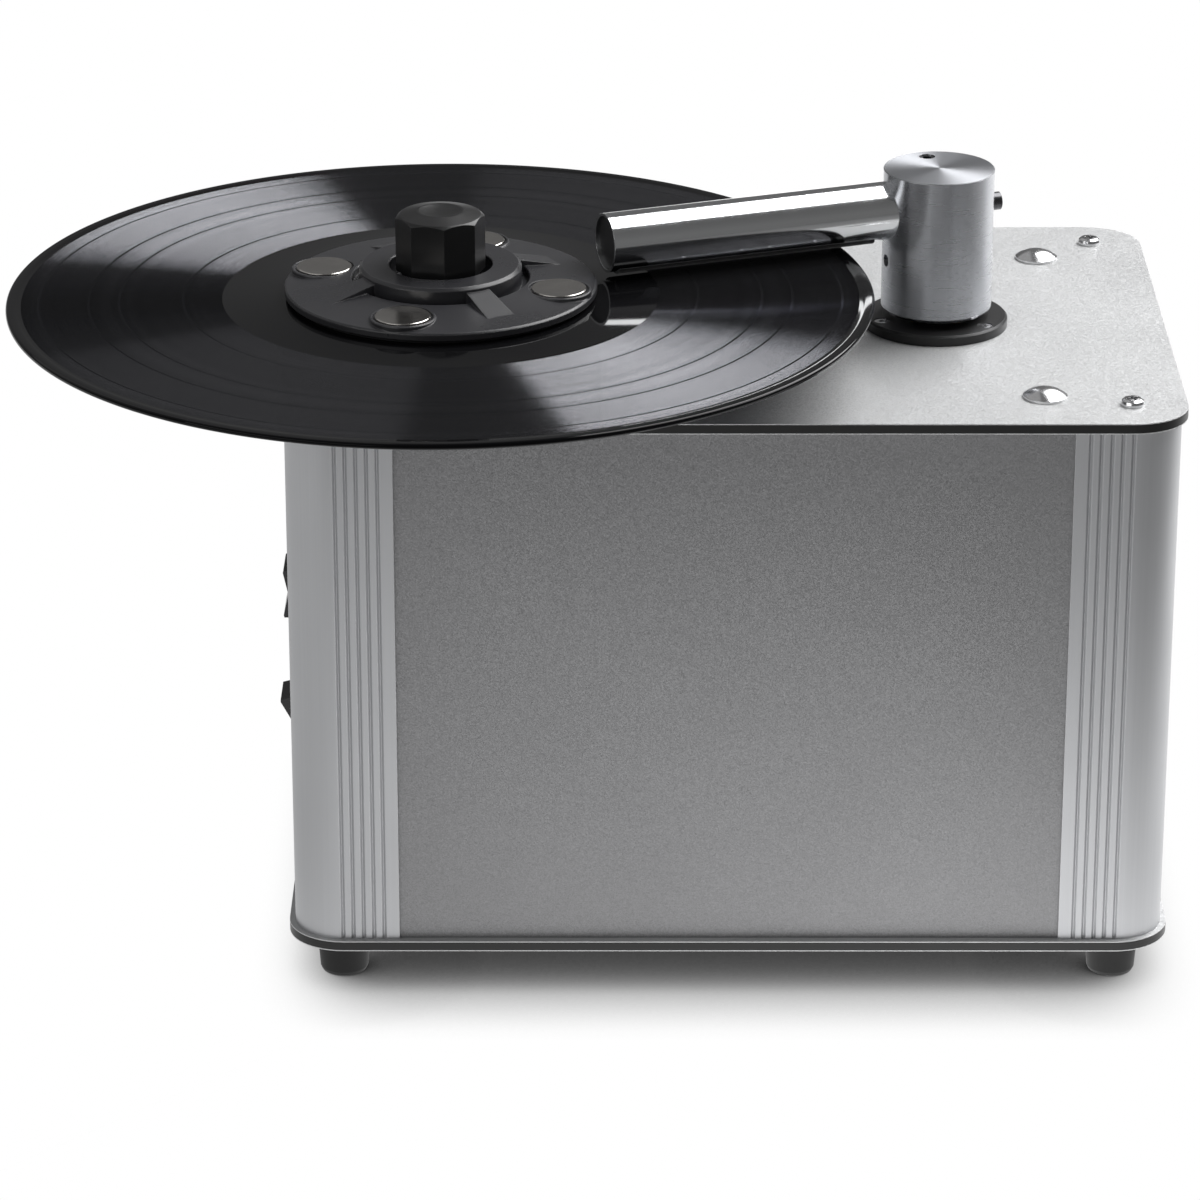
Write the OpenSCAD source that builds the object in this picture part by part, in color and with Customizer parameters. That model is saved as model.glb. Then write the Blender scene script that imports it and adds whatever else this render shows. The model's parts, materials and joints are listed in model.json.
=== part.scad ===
// Record cleaning machine: a vacuum record washer with a label clamp, a turning pillar and a suction tube.
// Millimetres, +Z up. The machine stands on the plane z = 0, and its front faces -Y.

/* [Body] */
// Width over the corner posts
body_w = 311; // [290:1:380]
// Depth over the corner posts
body_d = 212; // [205:1:260]
// Height of the corner posts between the two plates
post_h = 192.8; // [160:0.1:240]
// Corner radius of the posts
corner_r = 18; // [16:0.5:19]
// Thickness of the top and bottom plates
plate_t = 3.8; // [2.5:0.1:4.6]
// Overhang of the plates past the posts
plate_over = 2.1; // [1:0.1:5]
// Thickness of each metal skin on the plates
skin_t = 0.35; // [0.2:0.05:0.6]
// Thickness of the side panels
panel_t = 2; // [1.5:0.1:2.4]
// Depth of the panels' faces behind the posts' faces
panel_in = 1.2; // [1:0.1:1.4]
// Length of each post's legs along its panels
leg_w = 38.1; // [36:0.1:44]
// Pitch of the ribs on the posts
rib_pitch = 3.68; // [3.4:0.01:3.8]
// Height of the rubber feet
foot_h = 15.8; // [10:0.1:24]
// Diameter of the feet at the top
foot_d = 19.4; // [16:0.1:22]

/* [Turntable] */
// Distance of the spindle from the left side
spindle_in_x = 54.2; // [50:0.1:70]
// Distance of the spindle from the front
spindle_in_y = 42.5; // [40:0.1:60]
// Height of the record's underside above the top plate
record_up = 29.9; // [26:0.1:40]
// Diameter of the record
record_d = 301.6; // [250:0.1:302]
// Thickness of the record at its rim
record_t = 2.1; // [1.6:0.1:2.6]
// Diameter of the platter
platter_d = 98; // [80:1:100]
// Diameter of the spindle in its bushes
spindle_d = 8; // [7.5:0.1:9]

/* [Clamp] */
// Diameter of the clamp disc
clamp_d = 108.7; // [104:0.1:116]
// Height of the disc's rim above the record
clamp_rim_h = 4; // [3.6:0.1:5]
// Height of the hub ring above the record
hub_h = 11; // [9.5:0.1:13]
// Diameter of the hub ring
hub_d = 56.4; // [50:0.1:60]
// Diameter of the metal coins in the disc
coin_d = 19.2; // [16:0.1:20]
// Size of the knob over its corners
knob_d = 31.2; // [28:0.1:34]
// Number of the knob's sides
knob_sides = 8; // [6:1:12]
// Height of the knob's sides
knob_h = 18.75; // [14:0.05:26]

/* [Suction arm] */
// Distance of the pillar from the right side
pillar_in_x = 80.5; // [76:0.1:90]
// Distance of the pillar behind the middle of the body
pillar_y = -3; // [-10:0.5:10]
// Diameter of the pillar
pillar_d = 39.7; // [36:0.1:46]
// Gap between the pillar and its flange
pillar_gap = 2.4; // [1.5:0.1:4]
// Diameter of the flange under the pillar
flange_d = 51.6; // [50:0.1:60]
// Thickness of the flange
flange_t = 3.8; // [3.6:0.05:6]
// Outer diameter of the suction tube
tube_d = 20.9; // [18:0.1:24]
// Wall of the suction tube
tube_wall = 1; // [0.8:0.1:1.5]
// Gap between the tube and the record
tube_gap = 1.5; // [1.2:0.1:3]
// Gap between the tube's end and the clamp
tip_gap = 5.95; // [3:0.05:12]
// Outer diameter of the hollow shaft under the pillar
shaft_d = 16; // [14:0.1:17]
// Diameter of the lift spring's wire
wire_d = 1.6; // [1.2:0.1:1.8]
// Turns of the lift spring
spring_turns = 5; // [4:1:6]

/* [Inside] */
// Width of the waste tank
tank_w = 90; // [70:1:96]
// Depth of the waste tank
tank_d = 110; // [90:1:120]
// Height of the waste tank
tank_h = 85; // [60:1:95]
// Wall of the waste tank
tank_wall = 2.5; // [2:0.1:4]
// Diameter of the suction motor's fan housing
fan_d = 70; // [60:1:72]
// Diameter of the gear motor's gearbox
gearbox_d = 52; // [46:1:54]
// Outer diameter of the hose to the suction motor
hose_d = 16; // [14:0.5:18]
// Diameter of the exhaust duct
duct_d = 26; // [22:0.5:28]
// Outer diameter of the drain spout
spout_d = 10; // [8:0.5:12]

/* [Hidden] */
$fn = 96;
// Radial clearance of turning fits, and of pieces pressed or pushed together
run_gap = 0.05;
seat_gap = 0.03;
cut = 1;

// Levels, from the floor up
z_body0 = foot_h + plate_t;
z_body1 = z_body0 + post_h;
z_top = z_body1 + plate_t;
z_rec0 = z_top + record_up;
z_rec = z_rec0 + record_t;

// Body
face_x = body_w / 2 - panel_in;
face_y = body_d / 2 - panel_in;
slot_gap = 0.1;
slot_w = panel_t + 2 * slot_gap;
slot_deep = 5.2;
back_lip = 1.5;
leg_t = panel_in + slot_w + back_lip;
post_wall = 2.2;
rib_count = 4;
groove_half = 0.85;
port_in = 17.3;
port_r = 5;
screw_r = 1.95;
port_x = body_w / 2 - port_in;
port_y = body_d / 2 - port_in;
corners = [[-1, -1], [1, -1], [-1, 1], [1, 1]];
screw_deep = 14;
pan_r = 4.15;
pan_h = 2.6;

// Places of the spindle and the pillar, and the arm's direction and reach
spindle_x = spindle_in_x - body_w / 2;
spindle_y = spindle_in_y - body_d / 2;
pillar_x = body_w / 2 - pillar_in_x;
arm_dx = spindle_x - pillar_x;
arm_dy = spindle_y - pillar_y;
arm_angle = atan2(arm_dy, arm_dx);
arm_reach = norm([arm_dx, arm_dy]) - clamp_d / 2 - tip_gap;
tube_z = z_rec + tube_gap + tube_d / 2;

// Turntable and its drive, hung from the top plate
bear_flange_t = 4.5;
bush_r = spindle_d / 2 + 3;
barrel_r = bush_r + 8;
barrel_len = 34;
bush_len = 12;
bear_flange_d = 2 * barrel_r + 22;
bear_csk_at = bear_flange_d / 2 - 4.6;
hub_gap = 1;
mat_t = 1.5;
disc_t = 6;
pin_r = 3.55;
pin_up = 22;
z_barrel = z_body1 - barrel_len;
coupling_len = 25;
coupling_r = spindle_d / 2 + 7;
z_coupling = z_barrel - 3 - coupling_len;
motor_shaft_r = 3;
motor_plate_t = 2.5;
z_motor_plate = z_coupling - 7;
gearbox_h = 32;
can_r = 22;
can_h = 40;
standoff_in = gearbox_d / 2 - 0.5;
standoff_r = 4;

// Clamp
gasket_t = 1;
cone_h = clamp_rim_h + 2.3;
moat_w = 2.6;
moat_h = clamp_rim_h - 0.3;
moat_lip = 0.4;
lip_r = hub_d / 2 + moat_w + moat_lip;
under_h = clamp_rim_h - 2;
rim_chamfer = 0.6;
recess_r = knob_d / 2 + 2.4;
recess_h = clamp_rim_h;
knob_low = hub_h - 1.95;
coin_ring_r = coin_d / 2 + 1.7;
coin_at = clamp_d / 2 - coin_ring_r - 0.25;
coin_top = clamp_rim_h + 2.2;
coin_t = 1.8;
coin_groove_w = 0.8;
coin_groove_h = 1.2;
spoke_len = 16.1;
spoke_h = hub_h - 2;
spoke_turn = 29;
coin_turn = -16;
knob_turn = 6.7;

// Suction arm
flange_top = z_top + flange_t;
pillar_low = flange_top + pillar_gap;
pillar_high = tube_z + tube_d / 2 + 4.2;
spring_well = 3;
spring_r = shaft_d / 2 + 3;
well_r = spring_r + 2;
ceiling = flange_top + 17;
ring_t = 2;
arm_bush_r = shaft_d / 2 + 2;
arm_barrel_r = arm_bush_r + 4;
arm_barrel_len = 28;
shaft_bore_r = shaft_d / 2 - 2.5;
nipple_r = shaft_bore_r + 3.5;
nipple_len = 12;
socket_in = 9;
tube_off = 3;
felt_t = 0.8;
felt_w = 12.5;
felt_start = pillar_d / 2 + 6;
slot_half = 1.5;
slot_start = pillar_d / 2 + 19;
slot_end = arm_reach - 8;
plug_in = 1.2;
plug_t = 4;
arm_csk_at = flange_d / 2 - 4.4;
csk_turns = [82, 202, 322];

// Suction motor, hung between two dome-headed bolts
bolt_front = [body_w / 2 - 46.9, 25 - body_d / 2];
bolt_rear = [body_w / 2 - 38.5, body_d / 2 - 35];
hanger_x = (bolt_front[0] + bolt_rear[0]) / 2;
hanger_w = 40;
hanger_t = 2.5;
hanger_step = 12;
leg_front = bolt_front[1] + hanger_step;
leg_rear = bolt_rear[1] - hanger_step;
z_fan = z_body0 + fan_d / 2 + 25.4;
boss_r = 11;
fan_len = 40;
fan_end = leg_rear - 17;
mount_r = 14;
outlet_y = fan_end - fan_len / 2;
dome_r = 7.8;
dome_h = 3.6;
bolt_r = 3;

// Tank, hoses and duct
tank_x = -11;
tank_y = 25;
lid_t = 4;
z_lid = z_body0 + tank_h + lid_t;
arm_hose_bend = 18;
vac_hose_bend = 12;
duct_bend = 16;
arm_hose_r = nipple_r + 2.5;
inlet_x = tank_x + tank_w / 2 - 20;
outlet_at = [tank_x + 10, tank_y + tank_d / 2 - 20];
duct_x = 52;
spout_x = tank_x;
spout_z = z_body0 + 12.4;
spout_out = 18;
spout_bore = spout_d / 2 - 2;
collar_r = spout_d / 2 + 4;
collar_t = 3;

// Switches and mains inlet on the left panel
switch_y = -25.7;
motor_switch_z = z_body0 + 103.6;
suction_switch_z = z_body0 + 55.7;
rocker_w = 17;
rocker_half = 9.15;
rocker_high = 6.16;
rocker_dip = 4.6;
pivot_in = 3;
rocker_tilt = 16;
pivot_r = 1.5;
switch_hole = [17.6, 22.4];
switch_box = [20, 25, 22];
bezel = [23, 28, 1.8];
inlet_y = 38;
inlet_z = z_body0 + 47.4;
inlet_bezel = [31, 39, 2.5];
inlet_box = [27.4, 35, 20];
socket = [24.5, 16.8, 16.5];
socket_up = 7.5;
drawer = [19.4, 7.4, 19];
drawer_down = -12;

// The frame's origin lies on the floor, under the middle of the whole outline
x_min = spindle_x - record_d / 2;
x_max = body_w / 2 + plate_over;
y_min = spindle_y - record_d / 2;
y_max = face_y + panel_in + spout_out + 3;
origin = [-(x_min + x_max) / 2, -(y_min + y_max) / 2, 0];

silver = "#c9cbce";
anodised = "#b4b6ba";
panel_grey = "#77797c";
black = "#1c1c1e";
steel = "#d8dadd";
brass = "#b99b57";
rubber = "#222222";

module in_body() {
    translate(origin) children();
}
module at_spindle(z = 0) {
    in_body() translate([spindle_x, spindle_y, z]) children();
}
module at_pillar(z = 0) {
    in_body() translate([pillar_x, pillar_y, z]) children();
}
// Along the arm: local +X runs from the pillar's axis to the tube's end, with the tube's axis at zero height
module on_arm() {
    at_pillar(tube_z) rotate([0, 0, arm_angle]) children();
}
// The tube enters the pillar a little behind its axis, and its end points at the spindle
module on_tube() {
    on_arm() translate([arm_reach, 0, 0]) rotate([0, 0, asin(tube_off / arm_reach)])
        translate([-arm_reach, 0, 0]) children();
}
// On a side panel's outer face: local +Z points out of the body, and local +Y points up
module on_left(y, z) {
    in_body() translate([-face_x, y, z]) rotate([90, 0, -90]) children();
}
module on_rear(x, z) {
    in_body() translate([x, face_y, z]) rotate([90, 0, 180]) children();
}
module tube(r_out, r_in, h) {
    difference() {
        cylinder(r = r_out, h = h);
        translate([0, 0, -cut]) cylinder(r = r_in, h = h + 2 * cut);
    }
}
module rounded_square(size, r) {
    square([size[0] - 2 * r, size[1]], center = true);
    square([size[0], size[1] - 2 * r], center = true);
    for (c = corners) translate([c[0] * (size[0] / 2 - r), c[1] * (size[1] / 2 - r)]) circle(r);
}
module centred_box(size) {
    translate([-size[0] / 2, -size[1] / 2, 0]) cube(size);
}
// A box that lies behind a panel's outer face
module sunk_box(size, lift = 0) {
    translate([-size[0] / 2, -size[1] / 2, lift - size[2]]) cube(size);
}

// Plates and their skins
module plate_outline() {
    rounded_square([body_w + 2 * plate_over, body_d + 2 * plate_over], corner_r + plate_over);
}
module corner_holes(r) {
    for (c = corners) translate([c[0] * port_x, c[1] * port_y]) circle(r);
}
module top_holes() {
    corner_holes(screw_r + 0.2);
    translate([spindle_x, spindle_y]) circle(barrel_r + 0.2);
    translate([pillar_x, pillar_y]) circle(arm_barrel_r + 0.2);
    for (b = [bolt_front, bolt_rear]) translate(b) circle(bolt_r + 0.2);
    for (a = csk_turns) {
        translate([spindle_x, spindle_y]) rotate(a) translate([bear_csk_at, 0]) circle(csk_hole_r);
        translate([pillar_x, pillar_y]) rotate(a) translate([arm_csk_at, 0]) circle(csk_hole_r);
    }
}
module sheet(z, t, top) {
    translate([0, 0, z]) linear_extrude(t) difference() {
        plate_outline();
        if (top) top_holes();
        if (!top) corner_holes(screw_r + 0.2);
    }
}
module bottom_plate() {
    color(black) in_body() sheet(foot_h + skin_t, plate_t - 2 * skin_t, false);
}
module top_plate() {
    color(black) in_body() sheet(z_body1 + skin_t, plate_t - 2 * skin_t, true);
}
module plate_skins() {
    color(silver) in_body() {
        for (z = [foot_h, foot_h + plate_t - skin_t]) sheet(z, skin_t, false);
        for (z = [z_body1, z_top - skin_t]) sheet(z, skin_t, true);
    }
}

// Corner posts: an extrusion with a round outside, ribs, a panel slot in each leg and a screw port
module leg_outline() {
    difference() {
        translate([corner_r - 0.5, 0]) square([leg_w - corner_r + 0.5, leg_t]);
        translate([leg_w - slot_deep, panel_in]) square([slot_deep + cut, slot_w]);
    }
}
// The V grooves between the ribs, with a narrow flat bottom
module leg_grooves() {
    flat = 0.1;
    for (i = [0 : rib_count]) translate([corner_r + i * rib_pitch, 0]) polygon([
        [-groove_half - cut, -cut], [-flat, groove_half - flat],
        [flat, groove_half - flat], [groove_half + cut, -cut]
    ]);
}
module post_outline() {
    difference() {
        union() {
            intersection() {
                translate([corner_r, corner_r]) difference() {
                    circle(corner_r);
                    circle(corner_r - post_wall);
                }
                square(corner_r);
            }
            leg_outline();
            mirror([1, -1]) leg_outline();
            translate([port_in, port_in]) circle(port_r);
            translate([port_in - 1, 1]) square([2, port_in - 1]);
            translate([1, port_in - 1]) square([port_in - 1, 2]);
        }
        translate([port_in, port_in]) circle(screw_r + seat_gap);
        leg_grooves();
        mirror([1, -1]) leg_grooves();
    }
}
module post(c) {
    color(anodised) in_body() translate([c[0] * body_w / 2, c[1] * body_d / 2, z_body0])
        mirror([c[0] > 0 ? 1 : 0, 0, 0]) mirror([0, c[1] > 0 ? 1 : 0, 0])
            linear_extrude(post_h) post_outline();
}

// Panels, held in the posts' slots
panel_grip = slot_deep - 0.7;
panel_z = z_body0;
module panel(length, size_out) {
    translate([-length / 2, size_out - panel_t, panel_z]) cube([length, panel_t, post_h]);
}
front_len = body_w - 2 * leg_w + 2 * panel_grip;
side_len = body_d - 2 * leg_w + 2 * panel_grip;
module front_panel() {
    color(panel_grey) in_body() rotate(180) panel(front_len, face_y);
}
module rear_panel() {
    color(panel_grey) difference() {
        in_body() panel(front_len, face_y);
        on_rear(duct_x, z_fan) translate([0, 0, -panel_t - cut])
            cylinder(r = grille_neck_r + 0.1, h = panel_t + 2 * cut);
        on_rear(spout_x, spout_z) translate([0, 0, -panel_t - cut])
            cylinder(d = spout_d + 0.4, h = panel_t + 2 * cut);
    }
}
module left_panel() {
    color(panel_grey) difference() {
        in_body() rotate(90) panel(side_len, face_x);
        for (z = [motor_switch_z, suction_switch_z])
            on_left(switch_y, z) sunk_box([switch_box[0] + 0.2, switch_box[1] + 0.2, panel_t + 2 * cut], cut);
        on_left(inlet_y, inlet_z) sunk_box([inlet_box[0] + 0.2, inlet_box[1] + 0.2, panel_t + 2 * cut], cut);
    }
}
module right_panel() {
    color(panel_grey) in_body() rotate(-90) panel(side_len, face_x);
}

// Feet and fasteners
foot_recess_r = 4.3;
foot_recess_h = 9;
module foot() {
    difference() {
        rotate_extrude() polygon([
            [0, 0], [foot_d / 2 - 2.6, 0], [foot_d / 2 - 1.7, 0.5], [foot_d / 2 - 1.1, 1.8],
            [foot_d / 2, foot_h], [0, foot_h]
        ]);
        translate([0, 0, -cut]) cylinder(r = screw_r + 0.2, h = foot_h + 2 * cut);
        translate([0, 0, -cut]) cylinder(r = foot_recess_r, h = foot_recess_h + cut);
    }
}
module cross_recess(size, deep) {
    for (a = [0, 90]) rotate(a) translate([-size / 2, -size / 10, -deep]) cube([size, size / 5, deep + cut]);
}
// A pan head with its underside at zero height, and a shank below it
module pan_screw(head_r, head_h, shank_r, shank_len) {
    difference() {
        union() {
            rotate_extrude() polygon([
                [0, 0], [head_r, 0], [head_r, head_h * 0.35], [head_r * 0.92, head_h * 0.7],
                [head_r * 0.72, head_h * 0.93], [head_r * 0.45, head_h], [0, head_h]
            ]);
            translate([0, 0, -shank_len]) cylinder(r = shank_r, h = shank_len + 0.1);
        }
        translate([0, 0, head_h]) cross_recess(head_r * 1.15, head_h * 0.55);
    }
}
module at_corners(z) {
    in_body() for (c = corners) translate([c[0] * port_x, c[1] * port_y, z]) children();
}
module rubber_feet() {
    color(rubber) at_corners(0) foot();
}
module foot_screws() {
    color(steel) at_corners(foot_recess_h) rotate([180, 0, 0])
        pan_screw(3.6, 2.5, screw_r, foot_h - foot_recess_h + plate_t + screw_deep);
}
module corner_screws() {
    color(steel) at_corners(z_top) rotate(20) pan_screw(pan_r, pan_h, screw_r, plate_t + screw_deep);
}
dome_edge = 0.9;
dome_sphere_r = (dome_r * dome_r + (dome_h - dome_edge) * (dome_h - dome_edge)) / (2 * (dome_h - dome_edge));
module dome_bolt() {
    rotate_extrude() intersection() {
        translate([0, dome_h - dome_sphere_r]) circle(dome_sphere_r);
        square([dome_r - 0.05, dome_h + cut]);
    }
    translate([0, 0, -plate_t - hanger_t - 9]) cylinder(r = bolt_r, h = plate_t + hanger_t + 9.1);
}
module at_bolts(z) {
    in_body() for (b = [bolt_front, bolt_rear]) translate([b[0], b[1], z]) children();
}
module dome_bolts() {
    color(steel) at_bolts(z_top) dome_bolt();
}
module nut(across, bore_r, h) {
    difference() {
        cylinder(d = across / cos(30), h = h, $fn = 6);
        translate([0, 0, -cut]) cylinder(r = bore_r + seat_gap, h = h + 2 * cut);
    }
}
ring_nut_h = 6;
module plate_nuts() {
    color(steel) {
        at_bolts(z_body1 - hanger_t - 5) nut(10, bolt_r, 5);
        at_spindle(z_body1 - ring_nut_h) nut(2 * barrel_r + 7, barrel_r, ring_nut_h);
        at_pillar(z_body1 - ring_nut_h) nut(2 * arm_barrel_r + 7, arm_barrel_r, ring_nut_h);
    }
}
// Countersunk screws of the two flanges: the head's radius and depth, and the hole they leave
csk_r = 2.7;
csk_h = 1.7;
csk_hole_r = 1.5;
csk_low = 0.2;
module csk_screws(at_r, top) {
    for (a = csk_turns) rotate(a) translate([at_r, 0, top - csk_low]) difference() {
        union() {
            translate([0, 0, -csk_h]) cylinder(r1 = csk_hole_r - run_gap, r2 = csk_r, h = csk_h);
            translate([0, 0, -flange_t - plate_t])
                cylinder(r = csk_hole_r - run_gap, h = flange_t + plate_t - csk_h + 0.1);
        }
        translate([0, 0, -1]) cylinder(r = 1.2, h = 1 + cut, $fn = 6);
    }
}
module csk_holes(at_r, top) {
    for (a = csk_turns) rotate(a) translate([at_r, 0, top - csk_low]) {
        translate([0, 0, -csk_h]) cylinder(r1 = csk_hole_r, r2 = csk_r + 0.1, h = csk_h + 0.01);
        cylinder(r = csk_r + 0.1, h = cut);
        translate([0, 0, -10]) cylinder(r = csk_hole_r, h = 10);
    }
}
module flange_screws() {
    color(steel) {
        at_spindle() csk_screws(bear_csk_at, z_top + bear_flange_t);
        at_pillar() csk_screws(arm_csk_at, flange_top);
    }
}

// Rear fittings
grille_neck_r = duct_d / 2 + 2;
grille_w = duct_d + 20;
grille_t = 2.5;
module exhaust_grille() {
    color(black) on_rear(duct_x, z_fan) difference() {
        union() {
            linear_extrude(grille_t) rounded_square([grille_w, grille_w], 5);
            translate([0, 0, -10]) cylinder(r = grille_neck_r, h = 10.1);
        }
        translate([0, 0, -10 - cut]) cylinder(r = duct_d / 2 + seat_gap, h = 10 + cut);
        intersection() {
            translate([0, 0, -cut]) cylinder(d = duct_d, h = grille_t + 2 * cut);
            for (i = [-2 : 2]) translate([-duct_d / 2, i * 5 - 1.6, -cut]) cube([duct_d, 3.2, grille_t + 2 * cut]);
        }
    }
}
spout_in = face_y - (tank_y + tank_d / 2) + tank_wall;
module drain_spout() {
    color(black) on_rear(spout_x, spout_z) difference() {
        union() {
            translate([0, 0, -spout_in]) cylinder(d = spout_d, h = spout_in + panel_in + spout_out);
            cylinder(r = collar_r, h = collar_t);
        }
        translate([0, 0, -spout_in - cut]) cylinder(r = spout_bore, h = spout_in + spout_out + panel_in + 2 * cut);
    }
}
module drain_plug() {
    color(rubber) on_rear(spout_x, spout_z) translate([0, 0, panel_in + spout_out]) {
        difference() {
            cylinder(d = spout_d - 0.8, h = 3);
            translate([-cut / 2 - 0.3, -spout_d, 1.8]) cube([1.6, 2 * spout_d, 2]);
        }
        translate([0, 0, -11]) cylinder(r = spout_bore - 0.05, h = 11.1);
    }
}

// Switches and mains inlet
module switch_body(z) {
    color(black) on_left(switch_y, z) difference() {
        union() {
            linear_extrude(bezel[2]) rounded_square([bezel[0], bezel[1]], 1.5);
            sunk_box(switch_box, 0.1);
            for (i = [-1 : 1]) translate([i * 6 - 0.4, -3, -switch_box[2] - 8]) cube([0.8, 6, 9]);
        }
        translate([0, 0, bezel[2] + cut]) sunk_box([switch_hole[0], switch_hole[1], bezel[2] + cut + 13]);
        translate([-switch_hole[0] / 2 - 1.1, 0, -pivot_in]) rotate([0, 90, 0])
            cylinder(r = pivot_r + run_gap, h = switch_hole[0] + 2.2);
    }
}
module rocker(z, tilt) {
    color(black) on_left(switch_y, z)
        translate([0, 0, -pivot_in]) rotate([tilt, 0, 0]) translate([0, 0, pivot_in]) {
        translate([-rocker_w / 2, 0, 0]) rotate([90, 0, 90]) linear_extrude(rocker_w) polygon([
            [-rocker_half, rocker_high], [-rocker_half + 0.9, rocker_high + 0.25], [0, rocker_dip],
            [rocker_half - 0.9, rocker_high + 0.25], [rocker_half, rocker_high],
            [rocker_half - 0.2, -pivot_in + 1], [5, -pivot_in - 4], [-5, -pivot_in - 4],
            [-rocker_half + 0.2, -pivot_in + 1]
        ]);
        translate([-switch_hole[0] / 2 - 0.9, 0, -pivot_in]) rotate([0, 90, 0])
            cylinder(r = pivot_r, h = switch_hole[0] + 1.8);
    }
}
module mains_inlet() {
    color(black) on_left(inlet_y, inlet_z) difference() {
        union() {
            linear_extrude(inlet_bezel[2]) rounded_square([inlet_bezel[0], inlet_bezel[1]], 3);
            sunk_box(inlet_box, 0.1);
        }
        translate([0, socket_up, inlet_bezel[2] + cut]) sunk_box([socket[0], socket[1], socket[2] + cut]);
        translate([0, drawer_down, inlet_bezel[2] + cut])
            sunk_box([drawer[0] + 0.6, drawer[1] + 0.6, drawer[2] + inlet_bezel[2] + 0.5 + cut]);
        for (p = inlet_pin_places) translate([p[0], p[1], -inlet_box[2] - cut])
            centred_box([2 + 2 * seat_gap, 4 + 2 * seat_gap, inlet_box[2]]);
    }
}
pin_len = 11;
inlet_pin_places = [[-7, socket_up - 2], [7, socket_up - 2], [0, socket_up + 2]];
module inlet_pins() {
    color(steel) on_left(inlet_y, inlet_z) for (p = inlet_pin_places)
        translate([p[0], p[1], inlet_bezel[2] - socket[2] - 12]) centred_box([2, 4, pin_len + 12]);
}
module fuse_drawer() {
    color(black) on_left(inlet_y, inlet_z) translate([0, drawer_down, inlet_bezel[2]]) difference() {
        union() {
            sunk_box([drawer[0], drawer[1], drawer[2] + 0.1], 0.1);
            linear_extrude(1.4) rounded_square([drawer[0] + 2.4, drawer[1] + 1.6], 1);
        }
        translate([-3, -0.8, 0.7]) cube([6, 1.6, 2]);
    }
}

// Turntable
module spindle() {
    color(steel) at_spindle() {
        translate([0, 0, z_coupling + coupling_len / 2 + 0.5])
            cylinder(d = spindle_d, h = z_rec0 - z_coupling - coupling_len / 2 - 0.5);
        translate([0, 0, z_rec0 - 0.1]) cylinder(r = pin_r, h = record_t + pin_up - 1.4);
        translate([0, 0, z_rec + pin_up - 1.5]) cylinder(r1 = pin_r, r2 = pin_r - 1.5, h = 1.5);
    }
}
module platter() {
    z_low = z_top + bear_flange_t + hub_gap;
    z_disc = z_rec0 - mat_t - disc_t;
    hub_r = spindle_d / 2 + 11;
    color(silver) at_spindle() rotate_extrude() polygon([
        [spindle_d / 2 + seat_gap, z_low], [hub_r, z_low], [hub_r, z_disc - 3], [hub_r + 3, z_disc],
        [platter_d / 2 - 1.5, z_disc], [platter_d / 2, z_disc + 1.5], [platter_d / 2, z_rec0 - mat_t - 0.6],
        [platter_d / 2 - 0.6, z_rec0 - mat_t], [spindle_d / 2 + seat_gap, z_rec0 - mat_t]
    ]);
}
module platter_mat() {
    color(rubber) at_spindle(z_rec0 - mat_t) difference() {
        tube(platter_d / 2 - 1, 8, mat_t);
        for (r = [20 : 7 : platter_d / 2 - 6]) translate([0, 0, mat_t - 0.4]) tube(r + 1, r, 1);
    }
}
module bearing_housing() {
    color(black) at_spindle() difference() {
        rotate_extrude() polygon([
            [0, z_barrel], [barrel_r - 0.8, z_barrel], [barrel_r, z_barrel + 0.8], [barrel_r, z_top],
            [bear_flange_d / 2, z_top], [bear_flange_d / 2, z_top + bear_flange_t - 0.8],
            [bear_flange_d / 2 - 0.8, z_top + bear_flange_t], [0, z_top + bear_flange_t]
        ]);
        translate([0, 0, z_barrel - cut]) cylinder(r = bush_r, h = barrel_len + plate_t + bear_flange_t + 2 * cut);
        csk_holes(bear_csk_at, z_top + bear_flange_t);
    }
}
module bushes() {
    color(brass) {
        at_spindle() for (z = [z_barrel, z_top + bear_flange_t - bush_len])
            translate([0, 0, z]) tube(bush_r - seat_gap, spindle_d / 2 + run_gap, bush_len);
        at_pillar(z_arm_bush)
            tube(arm_bush_r - seat_gap, shaft_d / 2 + run_gap, flange_top - spring_well - z_arm_bush);
    }
}
module shaft_coupling() {
    color(silver) at_spindle(z_coupling) difference() {
        cylinder(r = coupling_r, h = coupling_len);
        translate([0, 0, coupling_len / 2]) cylinder(d = spindle_d + 2 * seat_gap, h = coupling_len);
        translate([0, 0, -cut]) cylinder(r = motor_shaft_r + seat_gap, h = coupling_len);
        for (z = [6, coupling_len - 6]) translate([0, 0, z]) rotate([0, 90, 0])
            cylinder(r = 2, h = coupling_r + cut);
    }
}
module motor_shaft() {
    color(steel) at_spindle(z_motor_plate - motor_plate_t - 10)
        cylinder(r = motor_shaft_r, h = z_coupling + coupling_len / 2 - 0.5 - z_motor_plate + motor_plate_t + 10);
}
gear_screw_at = gearbox_d / 2 - 6;
module gear_motor() {
    color("#8d9094") at_spindle(z_motor_plate - motor_plate_t) difference() {
        union() {
            translate([0, 0, -gearbox_h]) cylinder(d = gearbox_d, h = gearbox_h);
            cylinder(r = 8, h = motor_plate_t + 1);
            translate([0, 0, -gearbox_h - can_h]) rotate_extrude() polygon([
                [0, 0], [can_r - 2, 0], [can_r, 2], [can_r, can_h + 0.1], [0, can_h + 0.1]
            ]);
            translate([can_r - 4, -9, -gearbox_h - can_h + 6]) cube([8, 18, 16]);
        }
        translate([0, 0, -11]) cylinder(r = motor_shaft_r + run_gap, h = 20);
        for (a = [45 : 90 : 315]) rotate(a) translate([gear_screw_at, 0, -6]) cylinder(r = 1.5, h = 7);
    }
}
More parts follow.
